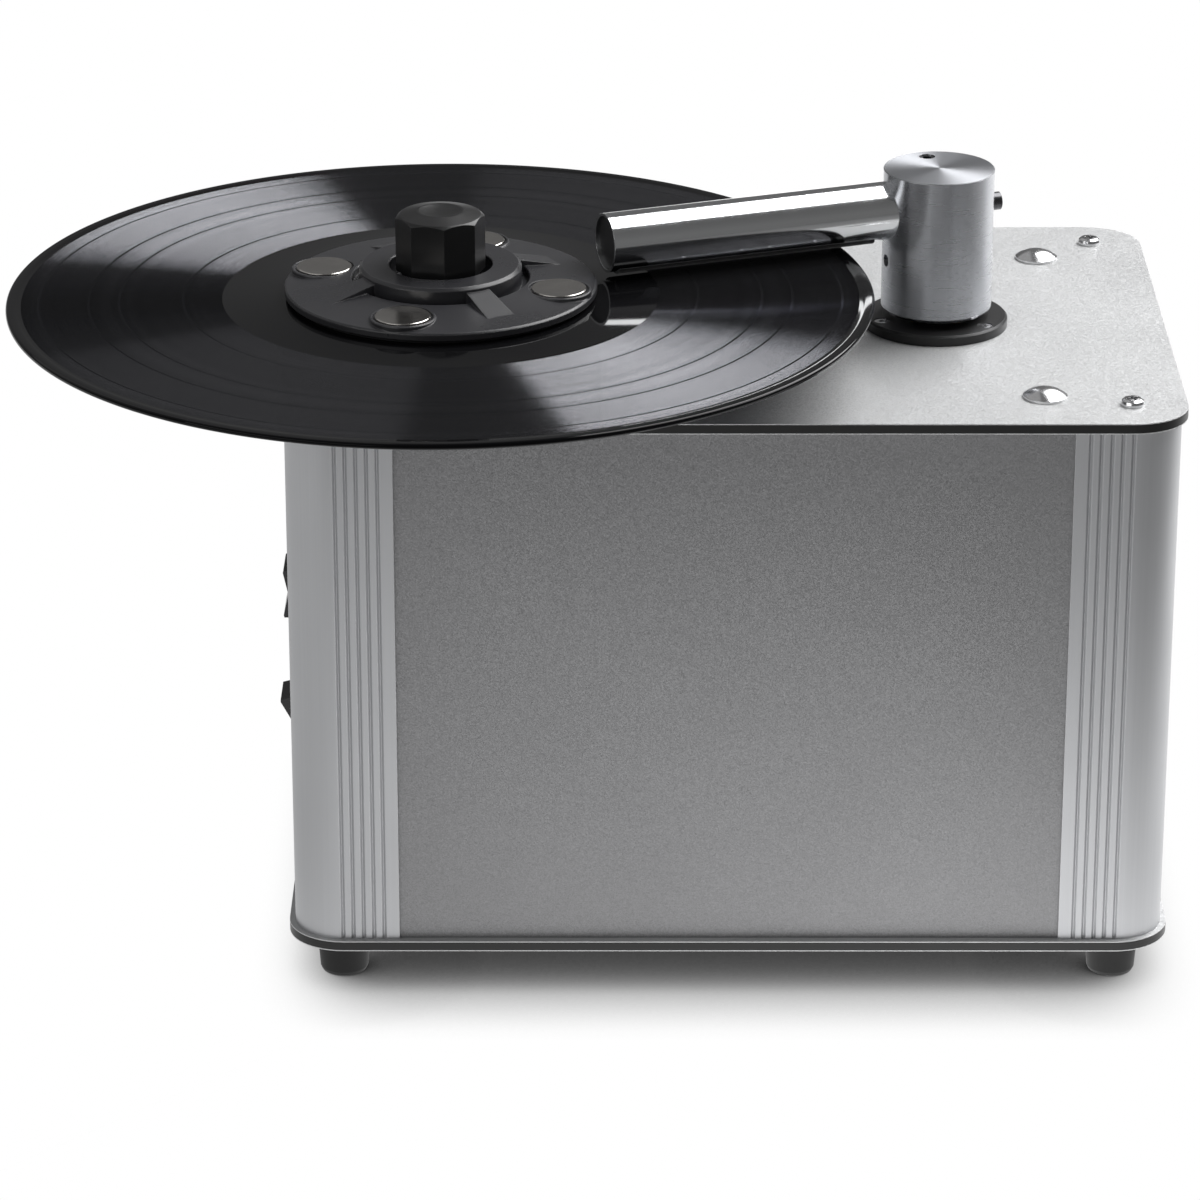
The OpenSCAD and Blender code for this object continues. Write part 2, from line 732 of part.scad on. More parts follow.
module motor_plate() {
    side = 2 * standoff_in + 11;
    color(steel) at_spindle(z_motor_plate - motor_plate_t) linear_extrude(motor_plate_t) difference() {
        rounded_square([side, side], 6);
        circle(8.5);
        for (a = [45 : 90 : 315]) rotate(a) translate([gear_screw_at, 0]) circle(1.7);
        for (c = corners) translate(c * standoff_in) circle(1.7);
    }
}
module motor_standoffs() {
    color(brass) at_spindle(z_motor_plate) for (c = corners) translate(c * standoff_in) difference() {
        cylinder(r = standoff_r, h = z_body1 - z_motor_plate);
        translate([0, 0, -cut]) cylinder(r = 1.5, h = 8 + cut);
    }
}
module motor_screws() {
    color(steel) at_spindle() {
        for (c = corners) translate([c[0] * standoff_in, c[1] * standoff_in, z_motor_plate - motor_plate_t])
            rotate([180, 0, 0]) pan_screw(3, 2, 1.45, motor_plate_t + 6);
        for (a = [45 : 90 : 315]) rotate(a) translate([gear_screw_at, 0, z_motor_plate])
            pan_screw(2.8, 2, 1.45, motor_plate_t + 5);
    }
}

// Record
hole_r = pin_r + 0.07;
groove_deep = 0.25;
label_r = 50;
label_t = 0.15;
rim_in = 4.6;
module half_record() {
    difference() {
        union() {
            square([record_d / 2 - record_t / 2, record_t / 2]);
            intersection() {
                translate([record_d / 2 - record_t / 2, 0]) circle(d = record_t);
                square([record_d / 2 + cut, record_t]);
            }
        }
        translate([-cut, -cut]) square([hole_r + cut, record_t + 2 * cut]);
        translate([0, record_t / 2 - label_t]) square([label_r + 0.05, 1]);
        polygon([
            [label_r + 1.2, record_t / 2 + cut], [label_r + 1.2, record_t / 2],
            [label_r + 2.2, record_t / 2 - groove_deep], [record_d / 2 - rim_in, record_t / 2 - groove_deep],
            [record_d / 2 - rim_in + 1.4, record_t / 2], [record_d / 2 - rim_in + 1.4, record_t / 2 + cut]
        ]);
    }
}
module record() {
    color("#101012") at_spindle(z_rec0 + record_t / 2) rotate_extrude($fn = 180) {
        half_record();
        mirror([0, 1]) half_record();
    }
}
module record_label() {
    color("#9a9a9a") at_spindle() for (z = [z_rec0, z_rec - label_t + 0.01])
        translate([0, 0, z]) tube(label_r, hole_r, label_t - 0.01);
}

// Clamp
module clamp_profile() {
    r = clamp_d / 2;
    hub_r = hub_d / 2;
    polygon([
        [pin_r + 0.65, gasket_t], [pin_r + 0.65, recess_h], [recess_r, recess_h], [recess_r, hub_h - 0.3],
        [recess_r + 0.3, hub_h], [hub_r - 1, hub_h], [hub_r, hub_h - 1], [hub_r, moat_h],
        [hub_r + moat_w, moat_h], [hub_r + moat_w, cone_h - moat_lip], [lip_r, cone_h],
        [r - rim_chamfer, clamp_rim_h], [r, clamp_rim_h - rim_chamfer], [r, gasket_t + 0.5],
        [r - 0.5, gasket_t], [r - 12.5, gasket_t], [r - 13.4, under_h], [recess_r + 2, under_h],
        [recess_r + 2, gasket_t]
    ]);
}
// Height of the disc's sloping top at a radius
function cone_at(r) = clamp_rim_h
    + (cone_h - clamp_rim_h) * (clamp_d / 2 - rim_chamfer - r) / (clamp_d / 2 - rim_chamfer - lip_r);
module spoke() {
    hub_r = hub_d / 2;
    tip_r = hub_r + spoke_len;
    fall = (spoke_h - cone_at(tip_r)) / spoke_len;
    end_h = cone_at(tip_r) - fall;
    intersection() {
        translate([0, 20, 0]) rotate([90, 0, 0]) linear_extrude(40) polygon([
            [hub_r - 1.5, moat_h - 0.8], [hub_r - 1.5, spoke_h], [hub_r, spoke_h], [tip_r + 1, end_h],
            [tip_r + 1, end_h - 1], [hub_r + moat_w, moat_h - 0.8]
        ]);
        linear_extrude(hub_h + cut) polygon([[0, -3.2], [tip_r + 2, -5.2], [tip_r + 2, 5.2], [0, 3.2]]);
    }
}
module at_coins() {
    for (i = [0 : 3]) rotate(coin_turn + 90 * i) translate([coin_at, 0, 0]) children();
}
module clamp_disc() {
    color(black) at_spindle(z_rec) difference() {
        union() {
            rotate_extrude() clamp_profile();
            for (i = [0 : 3]) rotate(spoke_turn + 90 * i) spoke();
            at_coins() translate([0, 0, clamp_rim_h - 1]) rotate_extrude() polygon([
                [0, 0], [coin_ring_r, 0], [coin_ring_r, 2.4], [coin_ring_r - 0.3, 2.7], [0, 2.7]
            ]);
        }
        at_coins() translate([0, 0, coin_top - coin_t]) cylinder(d = coin_d + 2 * seat_gap, h = coin_t + cut);
        at_coins() translate([0, 0, coin_top - coin_groove_h])
            cylinder(d = coin_d + 2 * coin_groove_w, h = coin_groove_h + cut);
    }
}
module clamp_gasket() {
    color(rubber) at_spindle(z_rec) tube(clamp_d / 2 - 1.85, clamp_d / 2 - 10, gasket_t);
}
module clamp_coins() {
    color(steel) at_spindle(z_rec) at_coins() translate([0, 0, coin_top - coin_t]) rotate_extrude() polygon([
        [0, 0], [coin_d / 2, 0], [coin_d / 2, coin_t - 0.25], [coin_d / 2 - 0.25, coin_t], [0, coin_t]
    ]);
}
// The knob's top is a flat cone with a steeper shoulder, which cuts a curved edge on each side
cap_h = 2.5;
cap_r = 8.2;
shoulder_r = knob_d / 2 * cos(180 / knob_sides) - 0.3;
shoulder_fall = 0.75;
dish_r = 7.4;
dish_deep = 1.1;
dish_sphere_r = (dish_r * dish_r + dish_deep * dish_deep) / (2 * dish_deep);
module clamp_knob() {
    side_r = knob_d / 2;
    z_cone = knob_low + knob_h;
    color(black) at_spindle(z_rec) difference() {
        union() {
            translate([0, 0, recess_h]) cylinder(r = side_r - 2, h = knob_low - recess_h + 0.1);
            intersection() {
                translate([0, 0, knob_low]) rotate(knob_turn)
                    cylinder(r = side_r, h = knob_h + cap_h, $fn = knob_sides);
                rotate_extrude() polygon([
                    [0, knob_low - cut], [side_r + 1, knob_low - cut], [side_r + 1, z_cone - shoulder_fall],
                    [shoulder_r, z_cone + shoulder_fall * (side_r - shoulder_r)],
                    [cap_r, z_cone + cap_h], [0, z_cone + cap_h]
                ]);
            }
        }
        translate([0, 0, z_cone + cap_h - dish_deep + dish_sphere_r]) sphere(r = dish_sphere_r);
        translate([0, 0, recess_h - cut]) cylinder(r = pin_r + 0.1, h = pin_up + 1.5 - recess_h + cut);
    }
}

// Suction arm
z_arm_low = z_body1 - arm_barrel_len;
z_arm_bush = z_arm_low + 8;
clip_t = 1.2;
module arm_flange() {
    color(black) at_pillar() difference() {
        rotate_extrude() polygon([
            [shaft_bore_r, z_arm_low - nipple_len], [nipple_r, z_arm_low - nipple_len], [nipple_r, z_arm_low],
            [arm_barrel_r, z_arm_low], [arm_barrel_r, z_top], [flange_d / 2, z_top],
            [flange_d / 2, flange_top - 0.7], [flange_d / 2 - 0.7, flange_top], [well_r, flange_top],
            [well_r, flange_top - spring_well], [arm_bush_r, flange_top - spring_well],
            [arm_bush_r, z_arm_low + 2], [shaft_bore_r, z_arm_low + 2]
        ]);
        csk_holes(arm_csk_at, flange_top);
    }
}
// The hollow shaft, and the clip under its bush that keeps the spring from lifting it out
module arm_shaft() {
    color(steel) {
        at_pillar(z_arm_low + 4) tube(shaft_d / 2, shaft_bore_r, tube_z - tube_d / 2 - 1.5 - z_arm_low - 4);
        at_pillar(z_arm_bush - 0.02 - clip_t) tube(arm_bush_r - 0.4, shaft_d / 2 + seat_gap, clip_t);
    }
}
module thrust_ring() {
    color(brass) at_pillar(ceiling - ring_t) tube(well_r, shaft_d / 2 + 0.3, ring_t);
}
grub_r = 2.2;
top_grub_r = 2.9;
side_grub_z = tube_z - tube_d / 2 - 7.55;
button_h = 3.5;
module arm_pillar() {
    r = pillar_d / 2;
    top_z = pillar_high - tube_z;
    low_z = pillar_low - tube_z;
    shaft_top = -tube_d / 2 - 1.5;
    color(silver) difference() {
        on_arm() rotate_extrude($fn = 144) polygon([
            [0, low_z], [r - 1.4, low_z], [r, low_z + 1.4], [r, top_z - 0.3], [r - 0.3, top_z], [0, top_z]
        ]);
        on_tube() rotate([0, 90, 0]) cylinder(r = shaft_bore_r, h = r);
        on_tube() translate([socket_in, 0, 0]) rotate([0, 90, 0]) cylinder(d = tube_d + 2 * seat_gap, h = r);
        on_arm() {
            translate([0, 0, low_z - cut]) cylinder(r = well_r + 0.5, h = ceiling - pillar_low + cut);
            translate([0, 0, low_z - cut]) cylinder(d = shaft_d + 2 * seat_gap, h = shaft_top - low_z + cut);
            translate([0, 0, shaft_top - cut]) cylinder(r = shaft_bore_r, h = -shaft_top + cut);
            translate([-1, -14, top_z - 12]) cylinder(r = top_grub_r + seat_gap, h = 12 + cut);
            translate([shaft_d / 2, 0, side_grub_z - tube_z]) rotate([0, 90, 0])
                cylinder(r = grub_r + seat_gap, h = r);
            translate([-r - cut, 0, 0]) rotate([0, 90, 0]) cylinder(r = 1.6, h = 9);
        }
    }
}
module suction_tube() {
    color(steel) on_tube() difference() {
        translate([socket_in, 0, 0]) rotate([0, 90, 0])
            tube(tube_d / 2, tube_d / 2 - tube_wall, arm_reach - socket_in);
        translate([slot_start, -slot_half, -tube_d]) cube([slot_end - slot_start, 2 * slot_half, tube_d]);
    }
}
module tube_plug() {
    color(black) on_tube() translate([arm_reach - plug_in - plug_t, 0, 0]) rotate([0, 90, 0])
        cylinder(r = tube_d / 2 - tube_wall - seat_gap, h = plug_t);
}
module felt_lips() {
    felt_len = arm_reach - 3 - felt_start;
    low = -tube_d / 2 - felt_t;
    color(rubber) on_tube() difference() {
        translate([felt_start, -felt_w / 2, low]) cube([felt_len, felt_w, 4]);
        rotate([0, 90, 0]) cylinder(d = tube_d + 2 * seat_gap, h = arm_reach + cut);
        translate([slot_start, -slot_half, low - cut]) cube([slot_end - slot_start, 2 * slot_half, 6]);
    }
}
module grub(r, len) {
    difference() {
        cylinder(r = r, h = len);
        translate([0, 0, len - 1.5]) cylinder(r = r * 0.6, h = 1.5 + cut, $fn = 6);
    }
}
module arm_screws() {
    r = pillar_d / 2;
    color("#3a3a3c") on_arm() {
        translate([-1, -14, pillar_high - tube_z - 11]) grub(top_grub_r, 10.6);
        translate([shaft_d / 2 + 0.1, 0, side_grub_z - tube_z]) rotate([0, 90, 0]) grub(grub_r, 6);
        translate([-r, 0, 0]) rotate([0, -90, 0]) difference() {
            union() {
                translate([0, 0, 0.2]) cylinder(r = 3.25, h = button_h);
                translate([0, 0, -7]) cylinder(r = 1.5, h = 7.3);
            }
            translate([0, 0, button_h - 1.2]) cylinder(r = 1.6, h = 3, $fn = 6);
        }
    }
}
// The lift spring: one wire tube swept along a helix
spring_low = flange_top - spring_well + wire_d / 2 + 0.15;
spring_high = ceiling - ring_t - wire_d / 2 - 0.15;
spring_rings = 8;
wire_sides = 6;
spring_steps = spring_turns * spring_rings;
function helix(i) = let (a = 360 * i / spring_rings, t = i / spring_steps)
    [spring_r * cos(a), spring_r * sin(a), spring_low + (spring_high - spring_low) * t];
spring_gap = min([for (i = [0 : spring_steps - spring_rings], j = [i + spring_rings / 2 : spring_steps])
    norm(helix(i) - helix(j)) - wire_d]);
function wire_ring(i) = let (a = 360 * i / spring_rings, c = helix(i))
    [for (k = [0 : wire_sides - 1]) let (b = 360 * k / wire_sides)
        c + wire_d / 2 * [cos(b) * cos(a), cos(b) * sin(a), sin(b)]];
function wire_sides_faces() = [for (i = [0 : spring_steps - 1], k = [0 : wire_sides - 1], half = [0, 1])
    let (n = wire_sides, a = i * n + k, b = i * n + (k + 1) % n)
        half == 0 ? [a, b, b + n] : [a, b + n, a + n]];
function wire_cap(first, flip) = [for (k = [1 : wire_sides - 2])
    flip ? [first, first + k + 1, first + k] : [first, first + k, first + k + 1]];
module lift_spring() {
    points = [for (i = [0 : spring_steps]) each wire_ring(i)];
    faces = concat(wire_sides_faces(), wire_cap(0, true), wire_cap(spring_steps * wire_sides, false));
    echo(least_gap_between_turns = spring_gap);
    color(steel) at_pillar() polyhedron(points, faces);
}

// Waste tank, suction motor and their hoses
module tank_outline(grow) {
    rounded_square([tank_w + 2 * grow, tank_d + 2 * grow], 8 + grow);
}
module waste_tank() {
    color("#d7dad6") difference() {
        in_body() translate([tank_x, tank_y, z_body0]) difference() {
            linear_extrude(tank_h) tank_outline(0);
            translate([0, 0, tank_wall]) linear_extrude(tank_h) tank_outline(-tank_wall);
        }
        on_rear(spout_x, spout_z) translate([0, 0, -spout_in - cut])
            cylinder(d = spout_d + 2 * seat_gap, h = tank_wall + 2 * cut);
    }
}
lid_nipple_h = 14;
module tank_lid() {
    color("#d7dad6") in_body() difference() {
        union() {
            translate([tank_x, tank_y, z_lid - lid_t]) linear_extrude(lid_t) tank_outline(1.5);
            translate([tank_x, tank_y, z_lid - lid_t - 4]) linear_extrude(4.1) difference() {
                tank_outline(-tank_wall - 0.2);
                tank_outline(-tank_wall - 2.2);
            }
            translate([inlet_x, pillar_y, z_lid - 0.1]) cylinder(r = nipple_r, h = lid_nipple_h);
            translate([outlet_at[0], outlet_at[1], z_lid - 0.1]) cylinder(d = hose_d - 4, h = lid_nipple_h);
        }
        translate([inlet_x, pillar_y, z_lid - 20]) cylinder(r = shaft_bore_r, h = 50);
        translate([outlet_at[0], outlet_at[1], z_lid - 20]) cylinder(d = hose_d - 8, h = 50);
    }
}
module suction_motor() {
    can_front = leg_front + 14;
    color("#8a8d90") in_body() translate([hanger_x, 0, z_fan]) difference() {
        union() {
            translate([0, leg_front - 5, 0]) rotate([-90, 0, 0])
                cylinder(r = boss_r, h = leg_rear - leg_front + 10);
            translate([0, can_front, 0]) rotate([-90, 0, 0]) rotate_extrude() polygon([
                [0, 0], [fan_d / 2 - 9, 0], [fan_d / 2 - 5, 4], [fan_d / 2 - 5, fan_end - fan_len - can_front],
                [fan_d / 2, fan_end - fan_len - can_front], [fan_d / 2, fan_end - can_front - 4],
                [fan_d / 2 - 4, fan_end - can_front], [0, fan_end - can_front]
            ]);
            translate([-fan_d / 2 - 8, outlet_y, 0]) rotate([0, 90, 0]) cylinder(d = duct_d + 4, h = fan_d / 2);
        }
        translate([0, leg_rear - 3, 0]) rotate([-90, 0, 0]) cylinder(d = hose_d + 2 * seat_gap, h = 10);
        translate([-fan_d / 2 - 8 - cut, outlet_y, 0]) rotate([0, 90, 0])
            cylinder(d = duct_d + 2 * seat_gap, h = 8 + cut);
    }
}
module motor_hanger() {
    low = z_fan - fan_d / 2 - 3 - hanger_t;
    color(steel) in_body() translate([hanger_x - hanger_w / 2, 0, 0]) difference() {
        union() {
            translate([0, bolt_front[1] - 10, z_body1 - hanger_t]) cube([hanger_w, hanger_step + 10, hanger_t]);
            translate([0, leg_rear, z_body1 - hanger_t]) cube([hanger_w, hanger_step + 10, hanger_t]);
            translate([0, leg_front, low]) cube([hanger_w, hanger_t, z_body1 - low]);
            translate([0, leg_rear - hanger_t, low]) cube([hanger_w, hanger_t, z_body1 - low]);
            translate([0, leg_front, low]) cube([hanger_w, leg_rear - leg_front, hanger_t]);
        }
        translate([hanger_w / 2, leg_front - cut, z_fan]) rotate([-90, 0, 0])
            cylinder(r = mount_r, h = leg_rear - leg_front + 2 * cut);
        for (b = [bolt_front, bolt_rear])
            translate([b[0] - hanger_x + hanger_w / 2, b[1], z_body1 - hanger_t - cut])
                cylinder(r = bolt_r + 0.2, h = 5);
    }
}
module rubber_mount() {
    rotate([-90, 0, 0]) rotate_extrude() polygon([
        [boss_r + seat_gap, -4], [mount_r + 2.5, -4], [mount_r + 2.5, -hanger_t / 2 - seat_gap],
        [mount_r - seat_gap, -hanger_t / 2 - seat_gap], [mount_r - seat_gap, hanger_t / 2 + seat_gap],
        [mount_r + 2.5, hanger_t / 2 + seat_gap], [mount_r + 2.5, 4], [boss_r + seat_gap, 4]
    ]);
}
module rubber_mounts() {
    color(rubber) in_body() for (y = [leg_front + hanger_t / 2, leg_rear - hanger_t / 2])
        translate([hanger_x, y, z_fan]) rubber_mount();
}
// A hose along a route whose runs are parallel to the axes, with a quarter bend at each corner
function unit(v) = v / norm(v);
function corner_at(route, i) = i > 0 && i < len(route) - 1 ? 1 : 0;
module hose(route, r_out, r_in, bend) {
    for (i = [0 : len(route) - 2]) {
        way = route[i + 1] - route[i];
        start = bend * corner_at(route, i);
        run = norm(way) - start - bend * corner_at(route, i + 1);
        translate(route[i] + unit(way) * start) point_along(unit(way)) tube(r_out, r_in, run);
    }
    for (i = [1 : 1 : len(route) - 2]) {
        u = unit(route[i] - route[i - 1]);
        v = unit(route[i + 1] - route[i]);
        w = cross(u, v);
        c = route[i] + bend * (v - u);
        multmatrix([
            [-v[0], u[0], w[0], c[0]], [-v[1], u[1], w[1], c[1]], [-v[2], u[2], w[2], c[2]], [0, 0, 0, 1]
        ]) rotate_extrude(angle = 90) translate([bend, 0]) difference() {
            circle(r_out);
            circle(r_in);
        }
    }
}
module point_along(u) {
    rotate([0, acos(u[2]), atan2(u[1], u[0])]) children();
}
module hoses() {
    arm_run = z_lid + lid_nipple_h + 22;
    vac_run = z_lid + lid_nipple_h + 12;
    vac_y = body_d / 2 - 18;
    color("#2c2c2e") in_body() {
        hose([
            [pillar_x, pillar_y, z_arm_low - 0.5], [pillar_x, pillar_y, arm_run],
            [inlet_x, pillar_y, arm_run], [inlet_x, pillar_y, z_lid + 0.3]
        ], arm_hose_r, nipple_r + seat_gap, arm_hose_bend);
        hose([
            [hanger_x, leg_rear - 2.5, z_fan], [hanger_x, vac_y, z_fan], [hanger_x, vac_y, vac_run],
            [outlet_at[0], vac_y, vac_run], [outlet_at[0], outlet_at[1], vac_run],
            [outlet_at[0], outlet_at[1], z_lid + 0.3]
        ], hose_d / 2, hose_d / 2 - 2 + seat_gap, vac_hose_bend);
    }
}
module exhaust_duct() {
    color("#2c2c2e") in_body() hose([
        [hanger_x - fan_d / 2 - 1, outlet_y, z_fan], [duct_x, outlet_y, z_fan],
        [duct_x, face_y - panel_t + 1, z_fan]
    ], duct_d / 2, duct_d / 2 - 1.5, duct_bend);
}

bottom_plate();
top_plate();
plate_skins();
post([-1, -1]);  // post_front_left
post([1, -1]);  // post_front_right
post([-1, 1]);  // post_rear_left
post([1, 1]);  // post_rear_right
front_panel();
rear_panel();
left_panel();
right_panel();
rubber_feet();
foot_screws();
corner_screws();
dome_bolts();
plate_nuts();
exhaust_grille();
drain_spout();
drain_plug();
switch_body(motor_switch_z);  // motor_switch_body
rocker(motor_switch_z, 0);  // motor_rocker
switch_body(suction_switch_z);  // suction_switch_body
rocker(suction_switch_z, rocker_tilt);  // suction_rocker
mains_inlet();
inlet_pins();
fuse_drawer();
platter();
platter_mat();
spindle();
bearing_housing();
bushes();
shaft_coupling();
motor_shaft();
gear_motor();
motor_plate();
motor_standoffs();
motor_screws();
record();
record_label();
clamp_disc();
clamp_gasket();
clamp_coins();
clamp_knob();
arm_pillar();
suction_tube();
tube_plug();
felt_lips();
arm_screws();
arm_shaft();
thrust_ring();
lift_spring();
arm_flange();
flange_screws();
waste_tank();
tank_lid();
suction_motor();
motor_hanger();
rubber_mounts();
hoses();
exhaust_duct();
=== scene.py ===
"""Looks of a record cleaning machine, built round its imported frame: finishes, finer pieces and a studio."""

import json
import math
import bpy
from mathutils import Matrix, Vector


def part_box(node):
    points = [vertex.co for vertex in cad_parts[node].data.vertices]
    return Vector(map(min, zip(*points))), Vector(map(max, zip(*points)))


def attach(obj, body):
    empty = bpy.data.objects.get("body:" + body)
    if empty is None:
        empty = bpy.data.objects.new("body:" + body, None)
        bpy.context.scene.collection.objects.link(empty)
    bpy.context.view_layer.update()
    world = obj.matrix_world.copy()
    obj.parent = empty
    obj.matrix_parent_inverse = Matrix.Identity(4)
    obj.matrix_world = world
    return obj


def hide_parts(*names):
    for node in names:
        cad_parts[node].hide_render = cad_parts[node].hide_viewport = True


bl_info = {
    "name": "Record Washer Looks",
    "version": (1, 0, 0),
    "blender": (4, 5, 0),
    "location": "3D View > Sidebar > Record washer",
    "description": "Finishes, finer pieces and a studio for a record cleaning machine",
    "category": "Object",
}

import bmesh
import bpy
from bpy.props import FloatProperty, FloatVectorProperty, IntProperty, PointerProperty
from mathutils import Matrix, Vector

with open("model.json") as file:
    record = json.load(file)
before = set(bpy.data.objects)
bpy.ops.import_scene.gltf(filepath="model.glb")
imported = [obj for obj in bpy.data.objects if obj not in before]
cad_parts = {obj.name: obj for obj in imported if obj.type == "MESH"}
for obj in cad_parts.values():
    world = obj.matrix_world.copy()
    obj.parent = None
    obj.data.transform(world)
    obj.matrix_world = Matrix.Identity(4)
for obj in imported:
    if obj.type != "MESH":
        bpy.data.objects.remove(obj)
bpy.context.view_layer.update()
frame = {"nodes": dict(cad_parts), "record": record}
CAD = frame["nodes"]
MM = 0.001


def centre_of(node):
    """The middle of a node's box."""
    low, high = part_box(node)
    return (low + high) / 2


SPINDLE = centre_of("spindle")
PILLAR = centre_of("arm_shaft")
RECORD_LOW, RECORD_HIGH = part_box("record")
RECORD_RADIUS = (RECORD_HIGH.x - RECORD_LOW.x) / 2


def colour(name, description, value):
    """A colour that a user can change."""
    return FloatVectorProperty(
        name=name, description=description, default=value, subtype="COLOR", min=0, max=1
    )


def brightness(name, lit, value):
    """A brightness that a user can change."""
    return FloatProperty(name=name, description="Brightness of " + lit, default=value, min=0)


class StudioSettings(bpy.types.PropertyGroup):
    """The camera, the lights and the floor."""

    camera_place: FloatVectorProperty(
        name="Camera place",
        description="Where the camera stands",
        default=(0.00265, -1.75105, 0.83907),
        subtype="TRANSLATION",
        unit="LENGTH",
    )
    camera_tilt: FloatProperty(
        name="Camera tilt",
        description="Angle of the view from straight down",
        default=math.radians(67.81),
        subtype="ANGLE",
    )
    camera_turn: FloatProperty(
        name="Camera turn",
        description="Turn of the view to the left of the +Y axis",
        default=0.0008,
        subtype="ANGLE",
    )
    camera_lens: FloatProperty(
        name="Lens",
        description="Focal length on a 36 mm sensor, in millimetres",
        default=157.456,
    )
    floor: colour("Floor", "Colour of the floor in reflections", (0.08, 0.08, 0.08))
    overhead_level: brightness("Overhead softbox", "the softbox overhead", 4.5)
    right_level: brightness("Right softbox", "the softbox behind at the right", 4.5)
    left_level: brightness("Left softbox", "the dim softbox at the left", 0.18)
    front_level: brightness("Front softbox", "the softbox at the front left", 1.4)
    floor_near: brightness("Floor glow near", "the floor near the object", 1.3)
    floor_far: brightness("Floor glow far", "the floor away from the object", 0.12)
    room_low: brightness("Room low", "the room near the floor", 0.14)
    room_high: brightness("Room high", "the room overhead", 0.1)


class FinishSettings(bpy.types.PropertyGroup):
    """Colours of the finishes."""

    plate: colour("Plate", "Satin silver skins of the two plates", (0.57, 0.575, 0.58))
    plate_core: colour("Plate core", "Black core of the two plates", (0.008, 0.008, 0.008))
    post: colour("Posts", "Anodised corner posts", (0.47, 0.475, 0.487))
    panel: colour("Panels", "Metallic paint of the panels", (0.25, 0.25, 0.255))
    rubber: colour("Rubber", "Feet, mat and seals", (0.006, 0.006, 0.006))
    plastic: colour("Plastic", "Black moulded plastic", (0.014, 0.014, 0.015))
    vinyl: colour("Record", "Black of the record", (0.004, 0.004, 0.0045))
    groove: colour("Groove", "Sheen of the record's groove", (0.152, 0.153, 0.163))
    clamp: colour("Clamp", "Black of the record clamp", (0.024, 0.024, 0.027))
    knob: colour("Knob", "Black of the clamp's knob", (0.008, 0.008, 0.0084))
    bright_steel: colour("Bright steel", "Plated screws and bolts", (0.78, 0.78, 0.79))
    coin: colour("Coins", "Nickel of the clamp's coins", (0.64, 0.615, 0.585))
    plain_steel: colour("Plain steel", "Brackets and nuts", (0.45, 0.45, 0.46))
    aluminium: colour("Aluminium", "Turned aluminium", (0.49, 0.5, 0.525))
    chrome: colour("Chrome", "Polished suction tube", (0.86, 0.87, 0.88))
    brass: colour("Brass", "Bushes and spacers", (0.62, 0.45, 0.2))
    felt: colour("Felt", "Lips under the suction tube", (0.01, 0.01, 0.01))
    tank: colour("Tank", "Milky plastic of the waste tank", (0.72, 0.73, 0.71))


class PieceSettings(bpy.types.PropertyGroup):
    """Sizes of what is added to the frame."""

    edge_radius: FloatProperty(
        name="Edge radius",
        description="Radius to which sharp edges are broken",
        default=0.25 * MM,
        unit="LENGTH",
        precision=5,
    )
    record_steps: IntProperty(
        name="Record steps",
        description="Steps round the record",
        default=240,
        min=48,
    )
    felt_thickness: FloatProperty(
        name="Felt thickness",
        description="Thickness of the felt, with its nap",
        default=0.78 * MM,
        unit="LENGTH",
        precision=5,
    )
    felt_arc: FloatProperty(
        name="Felt arc",
        description="How far the felt reaches round the tube from its slot",
        default=math.radians(37),
        subtype="ANGLE",
    )


# Shader trees

FLOAT = "NodeSocketFloat"
VECTOR = "NodeSocketVector"


def add_node(tree, kind, inputs=None, **settings):
    """Adds a node, with its settings, and its inputs as values or as other nodes' outputs."""
    node = tree.nodes.new(kind)
    for name, value in settings.items():
        setattr(node, name, value)
    for key, value in (inputs or {}).items():
        if isinstance(value, bpy.types.NodeSocket):
            tree.links.new(value, node.inputs[key])
        else:
            node.inputs[key].default_value = value
    return node


def maths(tree, operation, *values):
    return add_node(tree, "ShaderNodeMath", dict(enumerate(values)), operation=operation).outputs[0]


def multiply(tree, first, second):
    return maths(tree, "MULTIPLY", first, second)


def vector_maths(tree, operation, *values, out="Vector"):
    node = add_node(tree, "ShaderNodeVectorMath", dict(enumerate(values)), operation=operation)
    return node.outputs[out]


def scale_vector(tree, vector, factor):
    inputs = {0: vector, "Scale": factor}
    return add_node(tree, "ShaderNodeVectorMath", inputs, operation="SCALE").outputs[0]


def tilt_normal(tree, normal, tilt):
    return vector_maths(tree, "NORMALIZE", vector_maths(tree, "ADD", normal, tilt))


def combine(tree, **parts):
    """A vector from its X, Y and Z. A part that isn't given is zero."""
    return add_node(tree, "ShaderNodeCombineXYZ", parts).outputs[0]


def split(tree, vector):
    """The X, Y and Z of a vector."""
    return add_node(tree, "ShaderNodeSeparateXYZ", {"Vector": vector}).outputs


def spread(tree, value, low, high, to_low=0.0, to_high=1.0):
    """Maps a value's range to another range, and clamps it."""
    inputs = {"Value": value, "From Min": low, "From Max": high, "To Min": to_low, "To Max": to_high}
    return add_node(tree, "ShaderNodeMapRange", inputs).outputs["Result"]


def vary(tree, mask, low, high):
    """Maps the range that a noise mostly fills to another range."""
    return spread(tree, mask, 0.3, 0.7, low, high)


def blend_colours(tree, factor, first, second):
    """Mixes two colours, each of them a value or another node's output."""
    inputs = {0: factor}
    for key, value in ((6, first), (7, second)):
        inputs[key] = value if isinstance(value, bpy.types.NodeSocket) else (*value[:3], 1)
    return add_node(tree, "ShaderNodeMix", inputs, data_type="RGBA").outputs[2]


def noise(tree, vector, scale, detail, roughness):
    inputs = {"Vector": vector, "Scale": scale, "Detail": detail, "Roughness": roughness}
    return add_node(tree, "ShaderNodeTexNoise", inputs).outputs["Fac"]


